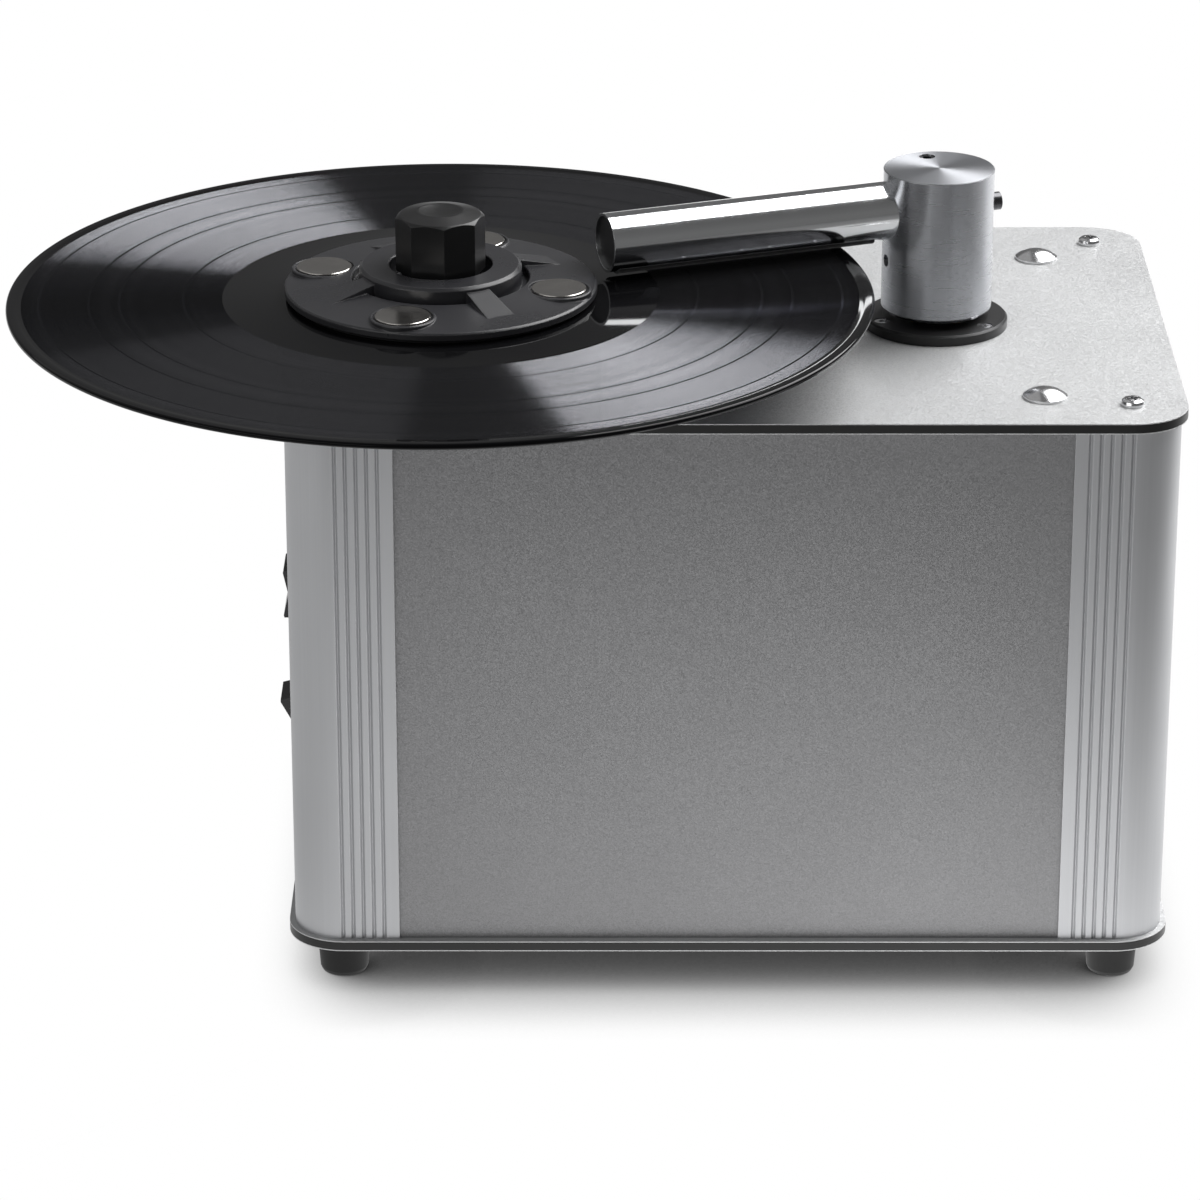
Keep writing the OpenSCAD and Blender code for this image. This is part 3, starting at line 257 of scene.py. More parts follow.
def bump(tree, height, distance, normal):
    inputs = {"Height": height, "Distance": distance, "Normal": normal, "Strength": 1.0}
    return add_node(tree, "ShaderNodeBump", inputs).outputs["Normal"]


def object_place(tree):
    return add_node(tree, "ShaderNodeTexCoord").outputs["Object"]


def surface_normal(tree):
    return add_node(tree, "ShaderNodeNewGeometry").outputs["Normal"]


def tangent_round(tree):
    """The direction round the upright axis of a turned piece."""
    return add_node(tree, "ShaderNodeTangent", direction_type="RADIAL", axis="Z").outputs[0]


def new_effect(name, inputs, outputs):
    """A shader node group: its tree, its inputs by name and its outputs by name."""
    tree = bpy.data.node_groups.new(name, "ShaderNodeTree")
    for label, kind, value in inputs:
        tree.interface.new_socket(label, in_out="INPUT", socket_type=kind).default_value = value
    for label, kind in outputs:
        tree.interface.new_socket(label, in_out="OUTPUT", socket_type=kind)
    return tree, tree.nodes.new("NodeGroupInput").outputs, tree.nodes.new("NodeGroupOutput").inputs


def feed(tree, sockets, **results):
    """Links results to the inputs of a group's output node or of a shader."""
    for name, result in results.items():
        tree.links.new(result, sockets[name.replace("_", " ")])


def use_effect(tree, name, **inputs):
    """Places an effect in a material, with its own values."""
    named = {key.replace("_", " "): value for key, value in inputs.items()}
    return add_node(tree, "ShaderNodeGroup", named, node_tree=bpy.data.node_groups[name]).outputs


def make_soft_edges():
    """Breaks sharp edges with a small radius, and masks them, in patches, for a painted edge highlight."""
    tree, given, result = new_effect(
        "Soft edges",
        [("Radius", FLOAT, 0.25 * MM), ("Patches", FLOAT, 900.0)],
        [("Edge", FLOAT), ("Normal", VECTOR)],
    )
    rounded = add_node(tree, "ShaderNodeBevel", {"Radius": given["Radius"]}, samples=4).outputs["Normal"]
    agreement = vector_maths(tree, "DOT_PRODUCT", rounded, surface_normal(tree), out="Value")
    turned = maths(tree, "SUBTRACT", 1.0, agreement)
    patches = noise(tree, object_place(tree), given["Patches"], detail=3.0, roughness=0.6)
    highlight_patches = spread(tree, patches, 0.35, 0.6, to_low=0.35)
    # The mask says where a lighter colour is painted on the edges as a highlight, broken up in patches.
    edge = multiply(tree, spread(tree, turned, 0.01, 0.12), highlight_patches)
    feed(tree, result, Edge=edge, Normal=rounded)


def make_fine_grain():
    """The fine uneven grain of mouldings, rubber and castings."""
    tree, given, result = new_effect(
        "Fine grain",
        [("Scale", FLOAT, 2500.0), ("Depth", FLOAT, 0.02 * MM), ("Normal", VECTOR, (0, 0, 0))],
        [("Grain", FLOAT), ("Normal", VECTOR)],
    )
    grain = noise(tree, object_place(tree), given["Scale"], detail=4.0, roughness=0.6)
    feed(tree, result, Grain=grain, Normal=bump(tree, grain, given["Depth"], given["Normal"]))


def make_metal_flake():
    """Flakes that each lie at a slightly different tilt, as in metallic paint or a sandblasted skin."""
    tree, given, result = new_effect(
        "Metal flake",
        [("Scale", FLOAT, 2600.0), ("Tilt", FLOAT, 0.2), ("Normal", VECTOR, (0, 0, 0))],
        [("Flake", FLOAT), ("Normal", VECTOR)],
    )
    cells = add_node(tree, "ShaderNodeTexVoronoi", {"Vector": object_place(tree), "Scale": given["Scale"]})
    chance = cells.outputs["Color"]
    tilt = scale_vector(tree, vector_maths(tree, "SUBTRACT", chance, (0.5, 0.5, 0.5)), given["Tilt"])
    flake = add_node(tree, "ShaderNodeSeparateColor", {"Color": chance}).outputs["Red"]
    feed(tree, result, Flake=flake, Normal=tilt_normal(tree, given["Normal"], tilt))


def make_drawn_lines():
    """Fine straight lines along one direction, as on an extrusion or brushed sheet."""
    tree, given, result = new_effect(
        "Drawn lines",
        [("Stretch", VECTOR, (3000, 3000, 20)), ("Depth", FLOAT, 0.004 * MM), ("Normal", VECTOR, (0, 0, 0))],
        [("Line", FLOAT), ("Normal", VECTOR)],
    )
    stretched = vector_maths(tree, "MULTIPLY", object_place(tree), given["Stretch"])
    line = noise(tree, stretched, 1.0, detail=3.0, roughness=0.6)
    feed(tree, result, Line=line, Normal=bump(tree, line, given["Depth"], given["Normal"]))


def make_turned_lines():
    """Fine rings round an upright axis, as a lathe leaves them on ends and on sides.

    A line runs all the way round. A streak starts and stops on its way.
    """
    streak_turn = 0.0012
    streak_scale = 0.35
    tree, given, result = new_effect(
        "Turned lines",
        [
            ("Axis", VECTOR, (0, 0, 0)),
            ("Scale", FLOAT, 3000.0),
            ("Depth", FLOAT, 0.01 * MM),
            ("Normal", VECTOR, (0, 0, 0)),
        ],
        [("Line", FLOAT), ("Streak", FLOAT), ("Normal", VECTOR)],
    )
    at = split(tree, vector_maths(tree, "SUBTRACT", object_place(tree), given["Axis"]))
    radius = vector_maths(tree, "LENGTH", combine(tree, X=at["X"], Y=at["Y"]), out="Value")
    around = maths(tree, "ARCTAN2", at["Y"], at["X"])
    ring = combine(tree, X=radius, Y=at["Z"])
    line = noise(tree, ring, given["Scale"], detail=3.0, roughness=0.65)
    arc = combine(tree, X=radius, Y=at["Z"], Z=multiply(tree, around, streak_turn))
    broad = multiply(tree, given["Scale"], streak_scale)
    streak = noise(tree, arc, broad, detail=4.0, roughness=0.7)
    normal = bump(tree, line, given["Depth"], given["Normal"])
    feed(tree, result, Line=line, Streak=streak, Normal=normal)


def make_dust():
    """Sparse fine dust, and the broad faint smudges that handling leaves."""
    patch_scale = 120.0
    tree, given, result = new_effect(
        "Dust and smudges",
        [("Specks", FLOAT, 1400.0), ("Amount", FLOAT, 0.5), ("Smudges", FLOAT, 22.0)],
        [("Dust", FLOAT), ("Smudge", FLOAT)],
    )
    place = object_place(tree)
    specks = add_node(tree, "ShaderNodeTexVoronoi", {"Vector": place, "Scale": given["Specks"]})
    near = spread(tree, specks.outputs["Distance"], 0.12, 0.05)
    patches = spread(tree, noise(tree, place, patch_scale, detail=3.0, roughness=0.6), 0.5, 0.75)
    dust = multiply(tree, multiply(tree, near, patches), given["Amount"])
    smudge = noise(tree, place, given["Smudges"], detail=4.0, roughness=0.6)
    feed(tree, result, Dust=dust, Smudge=smudge)


def make_record_rings():
    """Bands of a record by radius: the fine groove, the track gaps and the smooth rim and run-out.

    The groove's walls are too fine to draw, so each ring leans inward or outward by a chance slope.
    """
    fine_scale = 2600.0
    broad_scale = 160.0
    track_scale = 62.0
    rings_per_metre = 1e4
    gap_slope = 0.25
    tree, given, result = new_effect(
        "Record rings",
        [
            ("Groove start", FLOAT, 76 * MM),
            ("Groove end", FLOAT, 145.5 * MM),
            ("Least slope", FLOAT, math.radians(14)),
            ("Most slope", FLOAT, math.radians(50)),
            ("Tangent", VECTOR, (0, 0, 0)),
        ],
        [("Groove", FLOAT), ("Band", FLOAT), ("Normal", VECTOR)],
    )
    at = split(tree, object_place(tree))
    radius = vector_maths(tree, "LENGTH", combine(tree, X=at["X"], Y=at["Y"]), out="Value")
    start = maths(tree, "GREATER_THAN", radius, given["Groove start"])
    end = maths(tree, "LESS_THAN", radius, given["Groove end"])
    groove = multiply(tree, start, end)
    line = combine(tree, X=radius)
    fine = noise(tree, line, fine_scale, detail=2.0, roughness=0.8)
    broad = noise(tree, line, broad_scale, detail=3.0, roughness=0.6)
    band = maths(tree, "MULTIPLY_ADD", broad, 0.5, multiply(tree, fine, 0.5))

    # Each ring draws its side and its slope. Near a track gap the slope is small.
    ring = multiply(tree, radius, rings_per_metre)
    chance = add_node(tree, "ShaderNodeTexWhiteNoise", {"W": ring}, noise_dimensions="1D")
    side = maths(tree, "MULTIPLY_ADD", chance.outputs["Value"], 2.0, -1.0)
    extra = maths(tree, "SUBTRACT", given["Most slope"], given["Least slope"])
    lean = maths(tree, "MULTIPLY_ADD", maths(tree, "ABSOLUTE", side), extra, given["Least slope"])
    leant = multiply(tree, maths(tree, "TANGENT", lean), maths(tree, "SIGN", side))
    inputs = {"W": radius, "Scale": track_scale}
    tracks = add_node(tree, "ShaderNodeTexVoronoi", inputs, voronoi_dimensions="1D")
    share = spread(tree, tracks.outputs["Distance"], 0.035, 0.015, 1.0, gap_slope)
    slope = multiply(tree, leant, multiply(tree, groove, share))
    flat = surface_normal(tree)
    outward = vector_maths(tree, "CROSS_PRODUCT", given["Tangent"], flat)
    normal = tilt_normal(tree, flat, scale_vector(tree, outward, slope))
    feed(tree, result, Groove=groove, Band=band, Normal=normal)


EFFECTS = (
    make_soft_edges,
    make_fine_grain,
    make_metal_flake,
    make_drawn_lines,
    make_turned_lines,
    make_dust,
    make_record_rings,
)


# Materials


def new_material(name, **values):
    """A material with constant values on its Principled shader: the material, its tree and its shader."""
    material = bpy.data.materials.new(name)
    material.use_nodes = True
    shader = material.node_tree.nodes["Principled BSDF"]
    for key, value in values.items():
        socket = shader.inputs[key.replace("_", " ")]
        socket.default_value = (*value[:3], 1) if socket.type == "RGBA" else value
    return material, material.node_tree, shader


def finishes():
    return bpy.context.scene.washer_finishes


def edges(tree, radius=None):
    """Soft edges of this radius, or of the radius that the settings give."""
    radius = radius or bpy.context.scene.washer_pieces.edge_radius
    return use_effect(tree, "Soft edges", Radius=radius)


def lighter(base, factor, lift=0.0):
    """A colour times a factor, raised by a lift."""
    return tuple(min(1.0, c * factor + lift) for c in base[:3])


def shades(tree, mask, base, darkest, lightest):
    """A base colour times a factor that follows a mask."""
    return blend_colours(tree, mask, lighter(base, darkest), lighter(base, lightest))


def cover(tree, tone, mask, share, over):
    """Lays a colour over a tone where a mask is, at a share of the mask's strength."""
    return blend_colours(tree, multiply(tree, mask, share), tone, over)


def satin_silver():
    """Plate skins: fine bright flakes in a satin silver coat."""
    material, tree, shader = new_material("Satin silver", Metallic=0.35, Specular_IOR_Level=0.5)
    edge = edges(tree)
    flake = use_effect(tree, "Metal flake", Scale=2400.0, Tilt=0.28, Normal=edge["Normal"])
    dust = use_effect(tree, "Dust and smudges", Specks=900.0, Amount=0.5, Smudges=14.0)
    tone = shades(tree, flake["Flake"], finishes().plate, 0.93, 1.07)
    # Painted highlight: the plate's edges are painted near white.
    tone = cover(tree, tone, edge["Edge"], share=0.9, over=(0.95, 0.95, 0.95))
    tone = cover(tree, tone, dust["Dust"], share=0.5, over=(0.8, 0.8, 0.8))
    rough = vary(tree, dust["Smudge"], 0.4, 0.5)
    feed(tree, shader.inputs, Base_Color=tone, Roughness=rough, Normal=flake["Normal"])
    return material


def black_core():
    """The plates' black core, sawn at its edge."""
    sawn = (60.0, 60.0, 4000.0)
    material, tree, shader = new_material("Plate core", Specular_IOR_Level=0.4)
    edge = edges(tree)
    line = use_effect(tree, "Drawn lines", Stretch=sawn, Depth=0.01 * MM, Normal=edge["Normal"])
    tone = shades(tree, line["Line"], finishes().plate_core, 0.6, 1.8)
    rough = vary(tree, line["Line"], 0.3, 0.5)
    feed(tree, shader.inputs, Base_Color=tone, Roughness=rough, Normal=line["Normal"])
    return material


def anodised():
    """Corner posts: satin anodised extrusion with faint lines along its length."""
    upright = (1500.0, 1500.0, 6.0)
    material, tree, shader = new_material("Anodised posts", Metallic=0.75)
    edge = edges(tree, 0.22 * MM)
    line = use_effect(tree, "Drawn lines", Stretch=upright, Depth=0.003 * MM, Normal=edge["Normal"])
    grain = use_effect(tree, "Fine grain", Scale=4200.0, Depth=0.006 * MM, Normal=line["Normal"])
    dust = use_effect(tree, "Dust and smudges", Specks=1100.0, Amount=0.4, Smudges=16.0)
    tone = shades(tree, line["Line"], finishes().post, 0.95, 1.05)
    # Painted highlight: the post's edges and groove edges are painted lighter.
    tone = cover(tree, tone, edge["Edge"], share=0.85, over=(0.86, 0.86, 0.87))
    rough = vary(tree, dust["Smudge"], 0.38, 0.46)
    feed(tree, shader.inputs, Base_Color=tone, Roughness=rough, Normal=grain["Normal"])
    return material


def metallic_grey():
    """Panels: dark grey metallic paint with a fine sparkle."""
    material, tree, shader = new_material("Metallic grey", Metallic=0.6, Specular_IOR_Level=0.5)
    edge = edges(tree)
    flake = use_effect(tree, "Metal flake", Scale=3400.0, Tilt=0.22, Normal=edge["Normal"])
    dust = use_effect(tree, "Dust and smudges", Specks=900.0, Amount=0.4, Smudges=10.0)
    tone = shades(tree, flake["Flake"], finishes().panel, 0.85, 1.15)
    tone = cover(tree, tone, dust["Dust"], share=0.4, over=(0.5, 0.5, 0.5))
    rough = vary(tree, dust["Smudge"], 0.42, 0.5)
    feed(tree, shader.inputs, Base_Color=tone, Roughness=rough, Normal=flake["Normal"])
    return material


def grained(name, base, roughness, scale, depth, edge_highlight=0.15, radius=None, **values):
    """A moulded or cast surface: fine grain, edges painted lighter as a highlight and a little dust."""
    material, tree, shader = new_material(name, **values)
    edge = edges(tree, radius)
    grain = use_effect(tree, "Fine grain", Scale=scale, Depth=depth, Normal=edge["Normal"])
    dust = use_effect(tree, "Dust and smudges", Specks=1500.0, Amount=0.5, Smudges=40.0)
    tone = shades(tree, grain["Grain"], base, 0.8, 1.2)
    # Painted highlight: a lighter colour is painted on the edges.
    tone = cover(tree, tone, edge["Edge"], share=edge_highlight, over=lighter(base, 2.5, lift=0.08))
    tone = cover(tree, tone, dust["Dust"], share=0.35, over=(0.4, 0.4, 0.4))
    rough = vary(tree, dust["Smudge"], roughness - 0.05, roughness + 0.05)
    feed(tree, shader.inputs, Base_Color=tone, Roughness=rough, Normal=grain["Normal"])
    return material


def rubber():
    """Feet, mat and seals."""
    return grained(
        "Black rubber",
        finishes().rubber,
        roughness=0.62,
        scale=1800.0,
        depth=0.03 * MM,
        Specular_IOR_Level=0.35,
    )


def hose_rubber():
    return grained("Hose", finishes().rubber, roughness=0.5, scale=900.0, depth=0.05 * MM)


def black_plastic():
    return grained("Black plastic", finishes().plastic, roughness=0.42, scale=2200.0, depth=0.012 * MM)


def switch_plastic():
    return grained("Switch plastic", finishes().plastic, roughness=0.24, scale=2600.0, depth=0.004 * MM)


def clamp_plastic():
    """The clamp's disc, with broad painted highlights on its edges."""
    return grained(
        "Clamp",
        finishes().clamp,
        roughness=0.3,
        scale=2600.0,
        depth=0.008 * MM,
        # A strong painted highlight on the edges.
        edge_highlight=0.5,
        radius=0.6 * MM,
        Specular_IOR_Level=0.6,
    )


def knob_plastic():
    """The clamp's knob, smoother than its disc."""
    return grained(
        "Knob",
        finishes().knob,
        roughness=0.34,
        scale=2600.0,
        depth=0.002 * MM,
        # A strong painted highlight on the edges.
        edge_highlight=0.5,
        Specular_IOR_Level=0.45,
    )


def tank_plastic():
    """The milky plastic of the waste tank."""
    return grained(
        "Tank plastic",
        finishes().tank,
        roughness=0.4,
        scale=600.0,
        depth=0.01 * MM,
        Subsurface_Weight=0.2,
        Subsurface_Scale=0.003,
    )


def turned_lines(tree, axis, scale, depth, normal):
    return use_effect(tree, "Turned lines", Axis=axis, Scale=scale, Depth=depth, Normal=normal)


def black_anodised():
    """Flanges: black anodised, with the lathe's fine rings."""
    material, tree, shader = new_material("Black anodised", Metallic=0.4)
    edge = edges(tree)
    rings = turned_lines(tree, PILLAR, scale=1800.0, depth=0.006 * MM, normal=edge["Normal"])
    tone = blend_colours(tree, rings["Streak"], (0.022, 0.022, 0.022), (0.046, 0.046, 0.047))
    # Painted highlight: the flange's edges are painted lighter grey.
    tone = cover(tree, tone, edge["Edge"], share=0.35, over=(0.25, 0.25, 0.26))
    rough = vary(tree, rings["Line"], 0.3, 0.42)
    feed(tree, shader.inputs, Base_Color=tone, Roughness=rough, Normal=rings["Normal"])
    return material


def steel(name, base, roughness):
    """Plain or plated steel with a faint cloudy finish."""
    material, tree, shader = new_material(name, Metallic=1.0)
    edge = edges(tree, 0.12 * MM)
    grain = use_effect(tree, "Fine grain", Scale=900.0, Depth=0.0015 * MM, Normal=edge["Normal"])
    dust = use_effect(tree, "Dust and smudges", Specks=1800.0, Amount=0.4, Smudges=160.0)
    tone = shades(tree, grain["Grain"], base, 0.88, 1.1)
    rough = vary(tree, dust["Smudge"], roughness * 0.75, roughness * 1.25)
    feed(tree, shader.inputs, Base_Color=tone, Roughness=rough, Normal=grain["Normal"])
    return material


def turned_aluminium(name, axis):
    """Rings on the ends, fine lines round the sides and a highlight drawn out across them."""
    side_roughness = 0.27
    more_on_ends = 0.48
    base = finishes().aluminium
    material, tree, shader = new_material(
        name, Metallic=1.0, Anisotropic=0.92, Anisotropic_Rotation=0.25
    )
    edge = edges(tree, 0.3 * MM)
    rings = turned_lines(tree, axis, scale=2600.0, depth=0.0007 * MM, normal=edge["Normal"])
    ends = spread(tree, split(tree, edge["Normal"])["Z"], 0.2, 0.9)
    tone = shades(tree, rings["Line"], base, 0.965, 1.035)
    tone = blend_colours(tree, ends, tone, lighter(base, 0.88))
    # Painted highlight: the turned edges are painted near white.
    tone = cover(tree, tone, edge["Edge"], share=0.8, over=(0.95, 0.95, 0.96))
    rough = maths(tree, "MULTIPLY_ADD", ends, more_on_ends, side_roughness)
    rough = multiply(tree, rough, vary(tree, rings["Streak"], 0.97, 1.03))
    feed(tree, shader.inputs, Base_Color=tone, Roughness=rough, Normal=rings["Normal"])
    feed(tree, shader.inputs, Tangent=tangent_round(tree))
    return material


def polished_chrome():
    """The suction tube: polished, with the faintest smudges."""
    material, tree, shader = new_material("Polished chrome", Metallic=1.0)
    dust = use_effect(tree, "Dust and smudges", Specks=1200.0, Amount=0.3, Smudges=60.0)
    edge = edges(tree, 0.2 * MM)
    tone = blend_colours(tree, dust["Dust"], finishes().chrome, (0.7, 0.7, 0.7))
    rough = spread(tree, dust["Smudge"], 0.35, 0.7, 0.11, 0.16)
    feed(tree, shader.inputs, Base_Color=tone, Roughness=rough, Normal=edge["Normal"])
    return material


def vinyl():
    """The record: a glossy black whose groove draws highlights out into fans."""
    smooth_roughness = 0.05
    groove_metal = 0.94
    material, tree, shader = new_material("Black record", IOR=1.6, Specular_Tint=(0.1, 0.1, 0.1))
    rings = use_effect(tree, "Record rings", Tangent=tangent_round(tree))
    dust = use_effect(tree, "Dust and smudges", Specks=700.0, Amount=0.25, Smudges=18.0)
    tone = shades(tree, rings["Band"], finishes().groove, 0.4, 1.62)
    tone = blend_colours(tree, rings["Groove"], finishes().vinyl, tone)
    tone = blend_colours(tree, dust["Dust"], tone, (0.25, 0.25, 0.25))
    metal = multiply(tree, rings["Groove"], groove_metal)
    more = vary(tree, rings["Band"], 0.04, 0.09)
    rough = maths(tree, "MULTIPLY_ADD", rings["Groove"], more, smooth_roughness)
    feed(tree, shader.inputs, Base_Color=tone, Metallic=metal, Roughness=rough, Normal=rings["Normal"])
    return material


def felt():
    """Lips under the suction tube: a dark nap with a faint sheen."""
    material, tree, shader = new_material(
        "Black felt", Sheen_Weight=0.4, Sheen_Roughness=0.5, Roughness=0.95
    )
    fibres = noise(tree, object_place(tree), 3200.0, detail=5.0, roughness=0.8)
    tone = shades(tree, fibres, finishes().felt, 0.6, 2.2)
    normal = bump(tree, fibres, 0.15 * MM, surface_normal(tree))
    feed(tree, shader.inputs, Base_Color=tone, Normal=normal)
    return material


def label_paper():
    material, tree, shader = new_material("Label paper", Roughness=0.6)
    fibres = noise(tree, object_place(tree), 700.0, detail=5.0, roughness=0.7)
    tone = blend_colours(tree, fibres, (0.3, 0.3, 0.3), (0.4, 0.4, 0.4))
    feed(tree, shader.inputs, Base_Color=tone)
    return material


def dress_node(node, material):
    """Gives a material to one node of the frame."""
    materials = CAD[node].data.materials
    materials.clear()
    materials.append(material)


def dress(slot, material):
    """Gives a material to every node of one of the record's slots."""
    for part in frame["record"]["subparts"]:
        if part["material_slot"] == slot:
            dress_node(part["node"], material)


# Pieces


def add_object(name, data):
    thing = bpy.data.objects.new(name, data)
    bpy.context.scene.collection.objects.link(thing)
    return thing


def add_piece(name, data, place, body, material, replaces=()):
    """Puts a mesh in the scene at its place, on a body, in the place of CAD nodes."""
    piece = add_object(name, data)
    piece.location = place
    data.materials.clear()
    data.materials.append(material)
    data.shade_smooth()
    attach(piece, body)
    if replaces:
        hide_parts(*replaces)
    return piece


def sharpen_corners(piece, degrees):
    """Keeps corners sharper than this crisp in a smooth mesh."""
    piece.data.set_sharp_from_angle(angle=math.radians(degrees))


def finish_mesh(name, mesh):
    """Turns a closed mesh's faces outward, and makes mesh data of it."""
    bmesh.ops.recalc_face_normals(mesh, faces=mesh.faces)
    data = bpy.data.meshes.new(name)
    mesh.to_mesh(data)
    mesh.free()
    return data


def lathe(name, outline, steps):
    """A mesh turned round the Z axis from (radius, height) points, closed along its outline."""
    rings = []
    mesh = bmesh.new()
    turn = [2 * math.pi * i / steps for i in range(steps)]
    for radius, height in outline:
        rings.append([mesh.verts.new((radius * math.cos(a), radius * math.sin(a), height)) for a in turn])
    for low, high in zip(rings, rings[1:] + rings[:1]):
        for i in range(steps):
            j = (i + 1) % steps
            mesh.faces.new((low[i], low[j], high[j], high[i]))
    return finish_mesh(name, mesh)


def record_outline():
    """The record's section on one side of its axis, as (radius, height) points.

    It has a bead at the rim, a sunk groove band and a recess for the label.
    """
    half = (RECORD_HIGH.z - RECORD_LOW.z) / 2
    hole = 3.62 * MM
    label = 50.05 * MM
    bead = RECORD_RADIUS - 3.2 * MM
    label_sink = 0.15 * MM
    groove_sink = 0.25 * MM
    face = [
        (hole, half - label_sink),
        (label, half - label_sink),
        (label + 0.15 * MM, half - 0.05 * MM),
        (label + 0.5 * MM, half),
        (label + 1.1 * MM, half),
        (label + 2.2 * MM, half - groove_sink),
        (bead - 1.4 * MM, half - groove_sink),
        (bead - 0.4 * MM, half - 0.08 * MM),
        (bead, half),
    ]
    arc = []
    steps = 8
    for i in range(steps + 1):
        turn = math.pi / 2 * (1 - i / steps)
        arc.append((RECORD_RADIUS - half + half * math.cos(turn), half * math.sin(turn)))
    upper = face + arc
    return upper + [(r, -z) for r, z in reversed(upper[:-1])]


def felt_section(x, first, last, radius, thickness):
    """A strip's section at x, from one angle to the other, as (angle, distance from the axis) points."""
    steps = 12
    corner_power = 5
    ripple_share = 0.05
    glued = radius - 0.02 * MM
    section = []
    for j in range(steps + 1):
        part = j / steps
        nap = thickness * (1 - abs(2 * part - 1) ** corner_power) ** 0.5
        ripple = 1 + ripple_share * math.sin(900 * x + 5 * j) * math.sin(2300 * x)
        section.append((first + (last - first) * part, radius + nap * ripple))
    return section + [(last, glued), (first, glued)]


def felt_strips(radius, stretches, arc, thickness):
    """Two soft-edged strips along +X, glued round the underside of a tube on the X axis.

    Each stretch is (start, end, gap): between these points the strips lie that far from each other.
    """
    longest_step = 2 * MM
    mesh = bmesh.new()
    for side in (-1, 1):
        sections = []
        for start, end, gap in stretches:
            first = gap / 2 / radius
            steps = max(2, round((end - start) / longest_step))
            for i in range(steps + 1):
                x = start + (end - start) * i / steps
                section = felt_section(x, first, arc, radius, thickness)
                points = [(x, side * r * math.sin(a), -r * math.cos(a)) for a, r in section]
                sections.append([mesh.verts.new(point) for point in points])
        for low, high in zip(sections, sections[1:]):
            for j in range(len(low)):
                k = (j + 1) % len(low)
                mesh.faces.new((low[j], low[k], high[k], high[j]))
        mesh.faces.new(sections[0])
        mesh.faces.new(sections[-1])
    bmesh.ops.remove_doubles(mesh, verts=mesh.verts, dist=0.001 * MM)
    return finish_mesh("felt_strips", mesh)


# Studio


def add_camera(studio):
    camera = add_object("Camera", bpy.data.cameras.new("Camera"))
    camera.location = studio.camera_place
    camera.rotation_euler = (studio.camera_tilt, 0, studio.camera_turn)
    camera.data.lens = studio.camera_lens
    camera.data.sensor_width = 36
    camera.data.clip_end = 50
    bpy.context.scene.camera = camera


def add_softbox(name, place, turn, size, level):
    """An even rectangle of light, whose power follows from its size and the brightness of its face."""
    light = bpy.data.lights.new(name, "AREA")
    light.shape = "RECTANGLE"
    light.size, light.size_y = size
    light.energy = 4 * size[0] * size[1] * level
    lamp = add_object(name, light)
    lamp.location = place
    lamp.rotation_euler = turn
    lamp.visible_camera = False


def overhead_softbox(name, corner, turn, size, level):
    """A level softbox above the record. Its near corner and size count in heights above the record."""
    height = 2.2
    across, along = size
    turn = math.radians(turn)
    x = corner[0] + across / 2 * math.cos(turn) - along / 2 * math.sin(turn)
    y = corner[1] + across / 2 * math.sin(turn) + along / 2 * math.cos(turn)
    place = (SPINDLE.x + x * height, SPINDLE.y + y * height, RECORD_HIGH.z + height)
    add_softbox(name, place, (0, 0, turn), (across * height, along * height), level)


def add_lights(studio):
    """Three softboxes over the record, placed by their reflections in it, and one at the front left."""
    overhead_softbox(
        "Overhead softbox",
        corner=(0.36, -0.19),
        turn=12.9,
        size=(1.5, 0.98),
        level=studio.overhead_level,
    )
    overhead_softbox(
        "Right softbox",
        corner=(0.141, 0.768),
        turn=-32,
        size=(1.1, 1.5),
        level=studio.right_level,
    )
    overhead_softbox(
        "Left softbox",
        corner=(-2.3, -0.4),
        turn=0,
        size=(2.21, 2.1),
        level=studio.left_level,
    )
    front = Vector((-1.45, -1.65, 1.1))
    facing = front.to_track_quat("Z", "Y").to_euler()
    add_softbox("Front softbox", front, facing, (2.1, 0.9), studio.front_level)


def floor_glow(tree, place, across, studio):
    """How much the floor glows: less toward the front right, and most a little right of the middle."""
    fading = (0.63, -0.77, 0)
    fade_start = 0.25
    fade_end = 0.52
    left = -0.2
    peak = 0.15
    right = 0.26
    away = vector_maths(tree, "DOT_PRODUCT", place, fading, out="Value")
    level = spread(tree, away, fade_start, fade_end, studio.floor_near, studio.floor_far)
    level = multiply(tree, level, spread(tree, across, left, peak, to_low=0.5, to_high=1.38))
    return multiply(tree, level, spread(tree, across, peak, right, to_low=1.0, to_high=0.66))


def floor_shadow(tree, across):
    """The soft shadow on the white floor, kept short at the object's left and right.

    Past the object's sides the part of space that counts for the shadow leans away from it.
    """
    reach = 42 * MM
    lean_rate = 6.5
    lean_power = 5.0
    depth = 1.5
    beside = maths(tree, "SUBTRACT", across, centre_of("top_plate").x)
    lean = maths(tree, "POWER", multiply(tree, beside, lean_rate), lean_power)
    outward = vector_maths(tree, "NORMALIZE", combine(tree, X=lean, Z=1.0))
    inputs = {"Distance": reach, "Normal": outward}
    openness = add_node(tree, "ShaderNodeAmbientOcclusion", inputs, samples=16).outputs["AO"]
    return maths(tree, "POWER", openness, depth)


